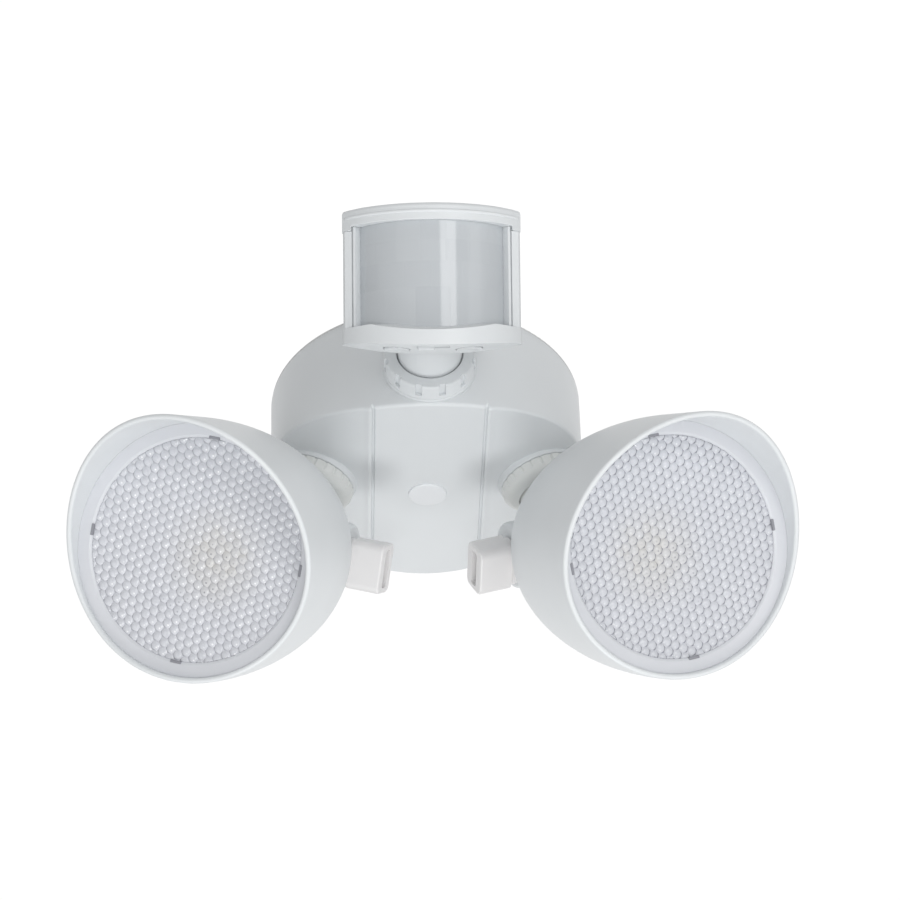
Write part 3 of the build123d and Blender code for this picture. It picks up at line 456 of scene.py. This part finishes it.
def bump_material(name, base, painted_shade_crescent, painted_glint, painted_dark_reflection):
    """Clear domes: painted shade as a dark crescent along the outer lower edge, a faint inner ring, a painted dark
    reflection as small specks near the middle of the lamp, painted highlights as bright points that also emit light,
    and a warm glow where the emitters sit behind."""
    m = material(name, base, rough=0.10, vary=0.006, scale=70, grain=0.0, rough_vary=0.02,
                 specular=0.5, coat=1.0, alpha=0.70)
    nt = m.node_tree
    bsdf = nt.nodes["Principled BSDF"]
    bsdf.inputs["Coat Roughness"].default_value = 0.03
    color = bsdf.inputs["Base Color"].links[0].from_socket

    def uv(name):
        node = nt.nodes.new("ShaderNodeUVMap")
        node.uv_map = name
        return node.outputs["UV"]

    def vec(op, a, b):
        node = nt.nodes.new("ShaderNodeVectorMath")
        node.operation = op
        nt.links.new(a, node.inputs[0])
        if b is not None:
            node.inputs[1].default_value = b
        return node.outputs["Value" if op in ("LENGTH", "DOT_PRODUCT") else "Vector"]

    def fade(value, low, high, out0=0.0, out1=1.0):
        node = nt.nodes.new("ShaderNodeMapRange")
        node.interpolation_type = "SMOOTHSTEP"
        for key, v in (("From Min", low), ("From Max", high), ("To Min", out0), ("To Max", out1)):
            node.inputs[key].default_value = v
        nt.links.new(value, node.inputs["Value"])
        return node.outputs["Result"]

    def times(a, b):
        node = nt.nodes.new("ShaderNodeMath")
        node.operation = "MULTIPLY"
        nt.links.new(a, node.inputs[0])
        if isinstance(b, float):
            node.inputs[1].default_value = b
        else:
            nt.links.new(b, node.inputs[1])
        return node.outputs["Value"]

    def blend(base, amount, rgb):
        node = nt.nodes.new("ShaderNodeMix")
        node.data_type = "RGBA"
        nt.links.new(amount, node.inputs["Factor"])
        nt.links.new(base, node.inputs["A"])
        node.inputs["B"].default_value = (*rgb, 1)
        return node.outputs["Result"]

    cell, place = uv("cell"), uv("place")
    noise = nt.nodes.new("ShaderNodeTexWhiteNoise")
    noise.noise_dimensions = "2D"
    nt.links.new(place, noise.inputs["Vector"])
    rand = noise.outputs["Value"]
    out = vec("LENGTH", cell, None)
    # warm glow of the emitters, on the inboard side of the middle
    glow = fade(vec("LENGTH", vec("SUBTRACT", place, (-0.20, -0.04, 0.0)), None), 0.06, 0.60, 1.0, 0.0)
    color = blend(color, times(times(glow, fade(rand, 0.0, 1.0, 0.55, 1.0)), 0.42), (0.85, 0.80, 0.69))
    # each dome a little lighter or darker
    color = blend(color, fade(rand, 0.35, 1.0, 0.0, 0.10), (0.55, 0.565, 0.62))
    # faint inner ring
    ring = times(fade(out, 0.34, 0.46), fade(out, 0.50, 0.64, 1.0, 0.0))
    color = blend(color, times(ring, 0.10), (0.42, 0.435, 0.48))
    # painted dark reflection: a small dark spot at the same place in each dome, in the middle of the lamp
    reflection_spot = fade(vec("LENGTH", vec("SUBTRACT", cell, (-0.12, -0.22, 0.0)), None), 0.10, 0.26, 1.0, 0.0)
    zone = fade(vec("LENGTH", vec("SUBTRACT", place, (-0.10, -0.22, 0.0)), None), 0.18, 0.62, 1.0, 0.0)
    color = blend(color, times(times(times(reflection_spot, zone), fade(rand, 0.35, 0.95)), painted_dark_reflection), (0.16, 0.17, 0.20))
    # painted highlights: white points low on the inner side of each dome, which also emit a little light
    glint_spot = fade(vec("LENGTH", vec("SUBTRACT", cell, (-0.34, -0.34, 0.0)), None), 0.12, 0.27, 1.0, 0.0)
    glint_spot = times(times(glint_spot, fade(rand, 0.75, 0.15)), painted_glint)
    color = blend(color, glint_spot, (0.98, 0.985, 1.0))
    bsdf.inputs["Emission Color"].default_value = (0.97, 0.98, 1.0, 1)
    nt.links.new(times(glint_spot, 0.30), bsdf.inputs["Emission Strength"])
    # painted shade: a dark crescent along the outer lower edge of each dome, where the dome's rim faces away from the
    # light
    rim = fade(out, 0.64, 0.90)
    side = fade(vec("DOT_PRODUCT", cell, (0.86, -0.51, 0.0)), 0.15, 0.78)
    color = blend(color, times(times(rim, side), painted_shade_crescent), (0.22, 0.235, 0.28))
    nt.links.new(color, bsdf.inputs["Base Color"])
    return m


# the left copy is painted lighter than the right: painted light for the left lens, which gets less light; the copies
# also differ in painted shade, highlight and dark reflection strength
M["right_bumps"] = bump_material("right_bumps", (0.812, 0.830, 0.886), 0.80, 0.45, 0.55)
M["left_bumps"] = bump_material("left_bumps", (0.865, 0.883, 0.938), 0.42, 1.0, 0.75)

SLOTS = {}
for sub in frame["record"]["subparts"]:
    SLOTS[sub["node"]] = sub["material_slot"]
for name, ob in nodes.items():
    ob.data.materials.clear()
    ob.data.materials.append(M[SLOTS[name]])


def finish_piece(ob, body, slot, *stands_for):
    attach(ob, body)
    if stands_for:
        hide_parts(*stands_for)
    return ob


# --------------------------------------------------------------- lamp shell
R0, LEN, MID = 47.2, 103.0, 91.4
CUT = 30.0


def shell_r(s):
    s = np.minimum(np.asarray(s, float), MID)
    return R0 * np.sqrt(np.maximum(0, 1 - ((s - MID) / LEN) ** 2))


def rim_s(y):
    q = y / 47.2
    return 96.86 + 15.04 * q + 9.98 * q * q


POCKET = [(3.2, 8.75), (45.0, -6.5), (45.0, -45.0), (-1.9, -45.0), (-9.25, -1.6)]


def convex(y, z, pts):
    """Signed distance to a clockwise convex polygon, near its edges."""
    d = np.full(y.shape, -1e9)
    for k in range(len(pts)):
        a, b = np.array(pts[k], float), np.array(pts[(k + 1) % len(pts)], float)
        e = unit(b - a)
        d = np.maximum(d, (y - a[0]) * (-e[1]) + (z - a[1]) * e[0])
    return d


def rear_field(p):
    x, y, z = p[:, 0], p[:, 1], p[:, 2]
    r = np.hypot(x, y)
    zz = np.minimum(z, MID)
    e1 = np.sqrt((r / R0) ** 2 + ((zz - MID) / LEN) ** 2)
    g = np.sqrt((r / R0 ** 2) ** 2 + ((zz - MID) / LEN ** 2) ** 2) / np.maximum(e1, 1e-6)
    body = (e1 - 1) / np.maximum(g, 1e-4)
    rho = np.hypot(y, z)
    kn = smax(np.hypot(y - 1.6, z + 1.0) - 12.8, np.abs(x + 2.0) - 24.0, 2.4)
    d = smin(body, kn, 4.0)
    scoop = smax(rho - 10.7, x + 26.0, 0.7)
    d = smax(d, -scoop, 0.9)
    pk = np.minimum(rho - 9.7, convex(y, z, POCKET))
    pk = np.maximum(pk, np.abs(x) - 7.8)
    d = smax(d, -pk, 1.0)
    ang = np.arctan2(z, y)
    sect = (ang + math.pi / 6) % (math.pi / 3) - math.pi / 6
    hexa = rho * np.cos(sect) - 5.06
    d = smax(d, -np.maximum(hexa, 14.4 - x), 0.5)
    return d


def build_lamp_shell():
    """Rear with its knuckle from a distance field, front as rings that share the rear's last loop."""
    v, q, n = nets(rear_field, (-41, -41, -19), (41, 41, CUT + 2.2), 0.62)
    me = bpy.data.meshes.new("tmp")
    me.from_pydata(v.tolist(), [], [tuple(int(i) for i in f) for f in q])
    bm = bmesh.new()
    bm.from_mesh(me)
    bmesh.ops.bisect_plane(bm, geom=bm.verts[:] + bm.edges[:] + bm.faces[:], dist=1e-4, plane_co=(0, 0, CUT),
                           plane_no=(0, 0, 1), clear_outer=True)
    bmesh.ops.remove_doubles(bm, verts=[w for w in bm.verts if w.co.z > CUT - 0.05], dist=0.12)
    bm.verts.ensure_lookup_table()
    edge = [w for w in bm.verts if w.is_boundary]
    edge.sort(key=lambda w: math.atan2(w.co.y, w.co.x))
    rc = float(shell_r(CUT))
    theta = np.array([math.atan2(w.co.y, w.co.x) for w in edge])
    for w, t in zip(edge, theta):
        w.co = (rc * math.cos(t), rc * math.sin(t), CUT)
    nt = len(theta)
    rows = []
    yv = np.sin(theta)
    tip = rim_s(46.2 * yv)
    # outer skin, from the seam to the rim
    for k in range(1, 44):
        f = (k / 43) ** 0.9
        s = CUT + (tip - 1.1 - CUT) * f
        r = shell_r(s)
        rows.append(np.column_stack([r * np.cos(theta), r * np.sin(theta), s]))
    # rounded rim
    for k in range(1, 12):
        a = math.pi * k / 12
        ca, sa = math.cos(a), math.sin(a)
        r = 46.2 + 1.0 * ca
        s = tip - 1.1 + 1.1 * sa
        rows.append(np.column_stack([r * np.cos(theta), r * np.sin(theta), s]))
    # inner skin down to the lens and behind it
    for f in np.linspace(0, 1, 16):
        s = (tip - 1.1) * (1 - f) + 86.0 * f
        rows.append(np.column_stack([45.2 * np.cos(theta), 45.2 * np.sin(theta), s]))
    rows.append(np.column_stack([45.2 * np.cos(theta), 45.2 * np.sin(theta), np.full(nt, 84.4)]))
    rows.append(np.column_stack([42.6 * np.cos(theta), 42.6 * np.sin(theta), np.full(nt, 84.4)]))
    rows.append(np.column_stack([42.6 * np.cos(theta), 42.6 * np.sin(theta), np.full(nt, 82.2)]))
    ring = list(edge)
    for row in rows:
        new = [bm.verts.new(p) for p in row.tolist()]
        for i in range(nt):
            j = (i + 1) % nt
            bm.faces.new((ring[i], ring[j], new[j], new[i]))
        ring = new
    bm.verts.index_update()
    bm.to_mesh(me)
    bm.free()
    co = np.empty(len(me.vertices) * 3)
    me.vertices.foreach_get("co", co)
    faces = [tuple(p.vertices) for p in me.polygons]
    return co.reshape(-1, 3), faces


def field_normals(fn, p, e=0.03):
    g = np.empty_like(p)
    for a in range(3):
        d = np.zeros(3)
        d[a] = e
        g[:, a] = fn(p + d) - fn(p - d)
    return g / np.maximum(np.linalg.norm(g, axis=1), 1e-9)[:, None]


shell_v, shell_f = build_lamp_shell()
shell_n = field_normals(rear_field, shell_v)


# ------------------------------------------------------------- lamp optics
DOME_STEPS = [0.0, 0.28, 0.54, 0.76, 0.89, 0.965, 1.0]


def hex_lens(radius=40.0, pitch=3.45, base=87.9, rise=0.50, edge=0.09):
    """Round domes on a hexagonal grid, set in a flat plate; columns run along the visor direction."""
    verts, faces, uvs, places, index = [], [], [], [], {}

    def vid(x, y, z):
        key = (round(x * 200), round(y * 200), round(z * 200))
        if key not in index:
            index[key] = len(verts)
            verts.append((x, y, z))
        return index[key]

    apo = pitch / 2.0
    circ = apo / math.cos(math.pi / 6)
    rings = 7
    foot = 0.99 * apo
    sphere = (foot ** 2 + rise ** 2) / (2 * rise)
    ny = int(radius / pitch) + 2
    nx = int(radius / (pitch * math.sin(math.pi / 3))) + 2
    for cx in range(-nx, nx + 1):
        for cy in range(-ny, ny + 1):
            x0 = cx * pitch * math.sin(math.pi / 3)
            y0 = (cy + (0.5 if cx % 2 else 0.0)) * pitch
            far = math.hypot(x0, y0)
            if far > radius + circ:
                continue
            lift = rise
            grid, cell = [], []
            for k in range(rings + 1):
                row, crow = [], []
                for m in range(max(1, 6 * k)):
                    if k == 0:
                        px = py = 0.0
                    else:
                        side, t = divmod(m, k)
                        a0, a1 = side * math.pi / 3, (side + 1) * math.pi / 3
                        w = t / k
                        hx = (1 - w) * math.cos(a0) + w * math.cos(a1)
                        hy = (1 - w) * math.sin(a0) + w * math.sin(a1)
                        if k < rings:
                            rr = foot * DOME_STEPS[k]
                            hl = math.hypot(hx, hy)
                            px, py = rr * hx / hl, rr * hy / hl
                        else:
                            px, py = circ * hx, circ * hy
                    d2 = px * px + py * py
                    z = base
                    if lift > 0 and d2 < foot ** 2:
                        q = math.sqrt(d2) / foot
                        z = base + math.sqrt(max(0.0, sphere ** 2 - d2)) - (sphere - rise) + edge * math.sqrt(max(0.0, 1 - q ** 12))
                    gx, gy = x0 + px, y0 + py
                    rad = math.hypot(gx, gy)
                    if rad > radius:
                        gx, gy = gx * radius / rad, gy * radius / rad
                        z = base
                    row.append(vid(gx, gy, z))
                    crow.append((px / foot if lift else 0.0, py / foot if lift else 0.0))
                grid.append(row)
                cell.append(crow)

            def put(*corners):
                ids = [grid[k][m] for k, m in corners]
                if len(set(ids)) == 3:
                    faces.append(tuple(ids))
                    uvs.append([cell[k][m] for k, m in corners])
                    places.append((x0 / radius, y0 / radius))

            for k in range(1, rings + 1):
                for side in range(6):
                    for t in range(k):
                        o0 = (k, (side * k + t) % (6 * k))
                        o1 = (k, (side * k + t + 1) % (6 * k))
                        if k == 1:
                            put((0, 0), o0, o1)
                            continue
                        i0 = (k - 1, (side * (k - 1) + t) % (6 * (k - 1)))
                        put(i0, o0, o1)
                        if t < k - 1:
                            i1 = (k - 1, (side * (k - 1) + t + 1) % (6 * (k - 1)))
                            put(i0, o1, i1)
    return np.array(verts), faces, uvs, places


lens_v, lens_f, lens_uv, lens_place = hex_lens()


def lamp_pieces(side, mirror):
    body = side + "_lamp"
    ob = new_object(side + "_shell_skin", shell_v, shell_f, LAMP, mirror, material=M["white_shell"])
    set_normals(ob, shell_n, LAMP, mirror, keep=shell_v[:, 2] < CUT - 0.6)
    finish_piece(ob, body, "white_shell", side + "_lamp_shell")

    # bumped lens on a clear plate
    ob = new_object(side + "_lens_bumps", lens_v, lens_f, LAMP, mirror, material=M[side + "_bumps"])
    layer = ob.data.uv_layers.new(name="cell")
    flat = [uv for cell in lens_uv for uv in (cell[::-1] if mirror else cell)]
    layer.data.foreach_set("uv", [c for uv in flat for c in uv])
    layer = ob.data.uv_layers.new(name="place")
    layer.data.foreach_set("uv", [c for at in lens_place for _ in range(3) for c in at])
    finish_piece(ob, body, "lamp_lens")
    pv, pf = revolve([(0.01, 85.0), (44.6, 85.0), (44.85, 85.2), (44.85, 87.2), (40.02, 87.25)], 160)
    ob = new_object(side + "_lens_plate", pv, pf, LAMP, mirror, material=M["lamp_lens"])
    finish_piece(ob, body, "lamp_lens", side + "_lamp_lens")

    # frosted ring round the bumps
    prof = rounded([(39.95, 86.9), (39.95, 88.2), (40.9, 88.75), (44.3, 88.95), (45.17, 89.0), (45.17, 88.6)],
                   [0, 0.3, 0.8, 0.6, 0.05, 0], 4)
    rv, rf = revolve(prof, 192)
    ob = new_object(side + "_ring_skin", rv, [f[::-1] for f in rf], LAMP, mirror, material=M["frosted_ring"])
    finish_piece(ob, body, "frosted_ring", side + "_lens_ring")

    # four thin dark clips at the edge of the domes
    dark = []
    for k in range(4):
        a = math.pi / 2 * k
        rot = np.array([[math.cos(a), -math.sin(a), 0], [math.sin(a), math.cos(a), 0], [0, 0, 1]])
        loop = rounded([(-0.5, -2.1), (0.5, -2.1), (0.5, 2.1), (-0.5, 2.1)], 0.25, 3, closed=True)
        sv, sf = stack(loop, [(0, 87.3), (0, 88.75), (0.1, 88.9)])
        dark.append(place_local((sv, sf), rot, rot @ np.array([40.35, 0, 0])))
    dv, df = join_data(*dark)
    ob = new_object(side + "_clip_bars", dv, df, LAMP, mirror, smooth=False, material=M["dark_clip"])
    finish_piece(ob, body, "dark_clip", side + "_lens_clips")

    # glossy reflector, gently curved
    pts = []
    for k in range(25):
        t = k / 24
        pts.append((18.0 + 23.6 * t ** 0.8, 61.2 + 22.4 * t ** 1.25))
    prof = [(17.9, 60.9)] + pts + [(42.3, 83.6), (42.3, 84.3)]
    rv, rf = revolve(prof, 160)
    ob = new_object(side + "_reflector_skin", rv, rf, LAMP, mirror, material=M["reflector_white"])
    finish_piece(ob, body, "reflector_white", side + "_reflector")


lamp_pieces("right", False)
lamp_pieces("left", True)


# ------------------------------------------------------------------ canopy
def canopy_skin():
    """Front face by columns across x, with soft ridges, grooves and edge, then the side wall and rim."""
    tilt, facet = math.tan(RAD(4.83)), math.tan(RAD(17.67))

    def ramp(x):
        # soft ridge where the band meets the facets
        a = np.abs(x) - 22.4
        w = 1.25
        return np.where(a < -w, 0, np.where(a > w, a, (a + w) ** 2 / (4 * w))) * facet

    def groove(x):
        a = np.abs(np.abs(x) - 21.0)
        return 1.15 * np.clip((0.60 - a) / 0.22, 0, 1)

    def bead(x):
        # rounded strip beside each groove
        a = np.clip(1 - ((np.abs(x) - 22.55) / 1.05) ** 2, 0, 1)
        return -0.35 * np.sqrt(a)

    def crown(x):
        return 1.1 * np.clip(np.abs(x) / 21.0, 0, 1) ** 2 * np.clip((38 - np.abs(x)) / 14.4, 0, 1)

    def height(x, y):
        return -42.56 + y * tilt + ramp(x) + groove(x) + bead(x) + crown(x)

    re = 58.9
    t = np.linspace(-math.pi / 2, math.pi / 2, 121)
    xs = list(60.4 * np.sin(t))
    for s in (1, -1):
        xs += [s * v for v in (20.35, 20.45, 20.5, 20.56, 20.67, 20.72, 20.85, 21.0, 21.15, 21.28, 21.33, 21.44, 21.5, 21.55, 21.75,
                               21.62, 21.9, 22.0, 22.2, 22.3, 22.45, 22.6, 22.75, 22.9, 23.05, 23.2, 23.35, 23.5, 23.56, 23.6, 23.75)]
    xs = np.array(sorted(set(np.round(xs, 4))))
    keep = [xs[0]]
    for v in xs[1:]:
        if v - keep[-1] > 0.03:
            keep.append(v)
    xs = np.array(keep) / 60.4
    nx, nv = len(xs), 61
    u = np.sin(np.linspace(-math.pi / 2, math.pi / 2, nv))
    verts = []
    for x in xs * re:
        half = math.sqrt(max(0, re * re - x * x))
        y = u * half
        verts.append(np.column_stack([np.full(nv, x), y, height(np.full(nv, x), y)]))
    v = np.concatenate(verts)
    f = []
    for i in range(nx - 1):
        for j in range(nv - 1):
            a = i * nv + j
            f.append((a, a + 1, a + nv + 1, a + nv))
    # boundary loop, anticlockwise seen from below
    loop = [i * nv for i in range(nx)] + [i * nv + nv - 1 for i in range(nx - 2, 0, -1)]
    lp = v[loop]
    rad = np.hypot(lp[:, 0], lp[:, 1])
    dirs = lp[:, :2] / rad[:, None]
    nl = len(loop)
    zf = lp[:, 2]
    layers = []
    for k in range(1, 8):
        a = math.pi / 2 * k / 7
        r = re + 1.3 * math.sin(a)
        layers.append((np.full(nl, r), zf + 1.3 * (1 - math.cos(a))))
    for fz in np.linspace(0.08, 1.0, 14):
        z = (zf + 1.3) * (1 - fz) + (-1.5) * fz
        r = 60.19 + 0.3 * (z + 47) / 46
        layers.append((r, z))
    layers.append((np.full(nl, 60.35), np.full(nl, -1.22)))
    layers.append((np.full(nl, 58.6), np.full(nl, -1.22)))
    layers.append((np.full(nl, 58.3), np.full(nl, -1.5)))
    layers.append((np.full(nl, 58.2), np.full(nl, -9.0)))
    base = loop
    n0 = len(v)
    add = []
    for r, z in layers:
        add.append(np.column_stack([dirs[:, 0] * r, dirs[:, 1] * r, z]))
    v = np.concatenate([v] + add)
    rows = [base] + [[n0 + m * nl + i for i in range(nl)] for m in range(len(layers))]
    for a, b in zip(rows[:-1], rows[1:]):
        for i in range(nl):
            j = (i + 1) % nl
            f.append((a[i], a[j], b[j], b[i]))
    return v, f


cv, cf = canopy_skin()
canopy = new_object("canopy_skin", cv, cf, ROW, material=M["white_shell"])


def fix_outward(ob):
    bm = bmesh.new()
    bm.from_mesh(ob.data)
    bmesh.ops.remove_doubles(bm, verts=bm.verts[:], dist=1e-7)
    bmesh.ops.recalc_face_normals(bm, faces=bm.faces[:])
    bm.to_mesh(ob.data)
    bm.free()
    ob.data.update()


fix_outward(canopy)
finish_piece(canopy, "base", "white_shell", "canopy_shell")

# boss and spigot of the sensor arm
bv, bf = revolve(rounded([(17.4, 54.0), (17.4, 61.0), (14.8, 61.0), (14.8, 66.0), (12.06, 66.0), (12.06, 58.0)],
                         [0, 0.6, 0.2, 0.5, 0.3, 0], 4), 128)
boss = new_object("sensor_boss", bv, bf, COLLAR, material=M["white_shell"])
fix_outward(boss)
finish_piece(boss, "base", "white_shell")
for side, mir in (("right", False), ("left", True)):
    bv, bf = revolve(rounded([(16.5, -3.5), (16.5, 1.8), (13.6, 1.8), (13.6, 7.2), (11.06, 7.2), (11.06, 3.0)],
                             [0, 0.6, 0.2, 0.5, 0.3, 0], 4), 128)
    boss = new_object(side + "_hub_boss", bv, bf, HUB, mir, material=M["white_shell"])
    fix_outward(boss)
    finish_piece(boss, "base", "white_shell")

# round plug in the band
bn = unit((0, math.tan(RAD(4.83)), -1))
PLUG = (np.column_stack([(1, 0, 0), np.cross(bn, (1, 0, 0)), bn]), np.array([0, 0.7, -42.56 + 0.7 * math.tan(RAD(4.83))]))
pv, pf = revolve([(7.35, -0.6), (7.35, 0.25)] + [(7.35 - 0.7 * (1 - math.cos(a)), 0.25 + 0.6 * math.sin(a)) for a in np.linspace(0.15, math.pi / 2, 6)]
                 + [(5.0, 0.98), (2.5, 1.06), (0.01, 1.1)], 96, cap_end=True)
ob = new_object("plug_skin", pv, pf, PLUG, material=M["plug_white"])
fix_outward(ob)
finish_piece(ob, "base", "white_shell", "center_plug")

# ------------------------------------------------------------- sensor head
def sensor_lens_sheet():
    half, side_y, apex, z0, z1 = 26.2, -18.0, -33.2, -11.2, 28.9
    rows = [(-11.2, 4.1, 5), (4.1, 13.5, 6), (13.5, 21.4, 7), (21.4, 28.9, 7)]
    sag = side_y - apex
    rad = (half ** 2 + sag ** 2) / (2 * sag)
    cy = apex + rad
    amax = math.asin(half / rad)
    nu = 211
    v, f, uvs = [], [], []
    for r, (za, zb, cols) in enumerate(rows):
        nv = max(6, int((zb - za) / 0.45))
        start = len(v)
        for j in range(nv + 1):
            for i in range(nu):
                fu, fv = i / (nu - 1), j / nv
                a = -amax + 2 * amax * fu
                cu = (fu * cols) % 1
                # fine V lines between the segments
                du = min(cu, 1 - cu) * 2 * amax * rad / cols
                dv = min(fv, 1 - fv) * (zb - za)
                line = max(0.0, 1 - min(du, dv) / 0.3)
                rr = rad - 0.05 * line
                v.append((rr * math.sin(a), cy - rr * math.cos(a), za + (zb - za) * fv))
                uvs.append((fu * cols, r + min(fv, 0.9999)))
        f += grid_faces(nu, nv + 1, closed_u=False, start=start)
    ob = new_object("sensor_lens_skin", v, f, SENS, material=M["sensor_lens"])
    layer = ob.data.uv_layers.new(name="UVMap")
    vi = np.empty(len(ob.data.loops), np.int32)
    ob.data.loops.foreach_get("vertex_index", vi)
    layer.data.foreach_set("uv", np.array(uvs)[vi].ravel())
    bm = bmesh.new()
    bm.from_mesh(ob.data)
    bmesh.ops.remove_doubles(bm, verts=bm.verts[:], dist=1e-6)
    bm.to_mesh(ob.data)
    bm.free()
    sol = ob.modifiers.new("sheet", "SOLIDIFY")
    sol.thickness = 0.9 * MM
    sol.offset = -1
    return ob


def cap_bead(zc=31.4, half=0.6, rise=0.42):
    """Fine raised line across the front of the rain cap, fading out at the corners."""
    rad, cy = 39.28, 4.28
    amax = math.asin(32.35 / rad) - 0.03
    rows, n, m = [], 121, 13
    for i in range(n):
        t = -1 + 2 * i / (n - 1)
        a = amax * t
        fade = min(1.0, (1 - abs(t)) / 0.10)
        for j in range(m):
            b = math.pi * j / (m - 1)
            r = rad - 0.05 + (rise * fade + 0.051) * math.sin(b)
            rows.append((r * math.sin(a), cy - r * math.cos(a), zc - half * math.cos(b)))
    f = grid_faces(m, n, closed_u=False)
    for end in (0, (n - 1) * m):
        f.append(tuple(end + j for j in range(m)))
    for i in range(n - 1):
        f.append((i * m, (i + 1) * m, (i + 1) * m + m - 1, i * m + m - 1))
    ob = new_object("cap_bead", rows, f, SENS, material=M["white_shell"])
    fix_outward(ob)
    return ob


finish_piece(cap_bead(), "sensor_head", "white_shell")
ob = sensor_lens_sheet()
finish_piece(ob, "sensor_head", "sensor_lens", "sensor_lens")

# ------------------------------------------------- small CAD pieces, polished
for name, width in {
    "sensor_collar": 0.25, "sensor_arm": 0.3, "sensor_rear_shell": 0.35, "sensor_front_frame": 0.22, "sensor_rain_cap": 0.3,
    "time_dial": 0.12, "light_dial": 0.12, "range_slide": 0.15, "sensor_pivot_pin": 0.1,
    "right_hub_nut": 0.2, "left_hub_nut": 0.2, "right_swivel_arm": 0.4, "left_swivel_arm": 0.4,
    "right_lock_knob": 0.35, "left_lock_knob": 0.35, "right_pivot_bolt": 0.15, "left_pivot_bolt": 0.15,
    "right_bolt_nut": 0.2, "left_bolt_nut": 0.2, "mounting_bar": 0.15, "back_cover": 0.2,
    "lead_grommet": 0.2, "cover_screws": 0.12, "center_screw": 0.15,
}.items():
    polish(name, width)

# -------------------------------------------------------------------- stage
def camera_axes(e=38.37, az=-2.42, roll=-1.84):
    e, az, roll = RAD(e), RAD(az), RAD(roll)
    c = np.array([math.sin(az) * math.cos(e), -math.cos(az) * math.cos(e), -math.sin(e)])
    right = np.array([math.cos(az), math.sin(az), 0.0])
    up = np.cross(c, right)
    if up[2] < 0:
        up = -up
    r = math.cos(roll) * right + math.sin(roll) * up
    u = -math.sin(roll) * right + math.cos(roll) * up
    return r, u, c


cr, cu, cc = camera_axes()
cam_data = bpy.data.cameras.new("camera")
cam = bpy.data.objects.new("camera", cam_data)
bpy.context.scene.collection.objects.link(cam)
cam_data.sensor_width = 36.0
cam_data.sensor_fit = "HORIZONTAL"
cam_data.lens = 36.0 * 3276.0 / 900.0
cam_data.clip_start, cam_data.clip_end = 0.05, 50.0
cam_pos = (9.77 * cr - 16.88 * cu + 1289.0 * cc) * MM
rot = Matrix([[cr[i], cu[i], cc[i]] for i in range(3)]).to_4x4()
cam.matrix_world = Matrix.Translation(Vector(cam_pos)) @ rot
bpy.context.scene.camera = cam


def area_light(name, at, size_x, size_y, watts, color=(1, 1, 1), target=(0.0, -0.045, -0.06)):
    """A soft box placed by right, up and towards-the-camera distances, in metres."""
    pos = Vector(target) + Vector(cr * at[0] + cu * at[1] + cc * at[2])
    data = bpy.data.lights.new(name, "AREA")
    data.shape = "RECTANGLE"
    data.size, data.size_y = size_x, size_y
    data.energy = watts
    data.color = color
    ob = bpy.data.objects.new(name, data)
    bpy.context.scene.collection.objects.link(ob)
    z = (pos - Vector(target)).normalized()
    y = Vector(cu)
    x = y.cross(z).normalized()
    y = z.cross(x)
    ob.matrix_world = Matrix.Translation(pos) @ Matrix([[x[i], y[i], z[i]] for i in range(3)]).to_4x4()
    return ob


AMBIENT = 0.53
LIGHTS = [
    ("low_box", (0.0, -1.2, 0.6), 0.5, 0.4, 4.3),
    ("low_right_box", (0.9, -0.7, 0.7), 0.6, 0.6, 1.6),
    ("low_left_box", (-0.9, -0.7, 0.7), 0.6, 0.6, 1.3),
    ("right_box", (1.25, 0.2, 0.6), 0.5, 0.9, 0.8),
    ("strip_box", (0.56, 0.336, 1.20), 0.50, 0.6, 3.4),
    ("front_box", (0.0, -0.2, 1.45), 0.3, 0.3, 3.4),
]
for light in LIGHTS:
    if light[4] > 0:
        area_light(*light)

world = bpy.data.worlds.new("studio")
bpy.context.scene.world = world
world.use_nodes = True
nt = world.node_tree
bg = nt.nodes["Background"]
tc = nt.nodes.new("ShaderNodeTexCoord")
dot = nt.nodes.new("ShaderNodeVectorMath")
dot.operation = "DOT_PRODUCT"
dot.inputs[1].default_value = tuple(-cc)
nt.links.new(tc.outputs["Generated"], dot.inputs[0])
mr = nt.nodes.new("ShaderNodeMapRange")
mr.interpolation_type = "SMOOTHSTEP"
mr.inputs["From Min"].default_value = 0.55
mr.inputs["From Max"].default_value = 0.93
mr.inputs["To Min"].default_value = AMBIENT
mr.inputs["To Max"].default_value = 1.03
nt.links.new(dot.outputs["Value"], mr.inputs["Value"])
nt.links.new(mr.outputs["Result"], bg.inputs["Strength"])
bg.inputs["Color"].default_value = (1, 1, 1, 1)

floor = new_object("floor", [(-4000, -4000, -2300), (4000, -4000, -2300), (4000, 4000, -2300), (-4000, 4000, -2300)],
                   [(0, 1, 2, 3)], ROW, smooth=False,
                   material=material("floor_pale", (0.80, 0.80, 0.80), rough=0.7, vary=0.01, scale=3, grain=0.0))

bpy.context.scene.view_settings.view_transform = "Standard"
bpy.context.scene.view_settings.look = "None"
bpy.context.scene.view_settings.exposure = 0.0
bpy.context.scene.view_settings.gamma = 1.0
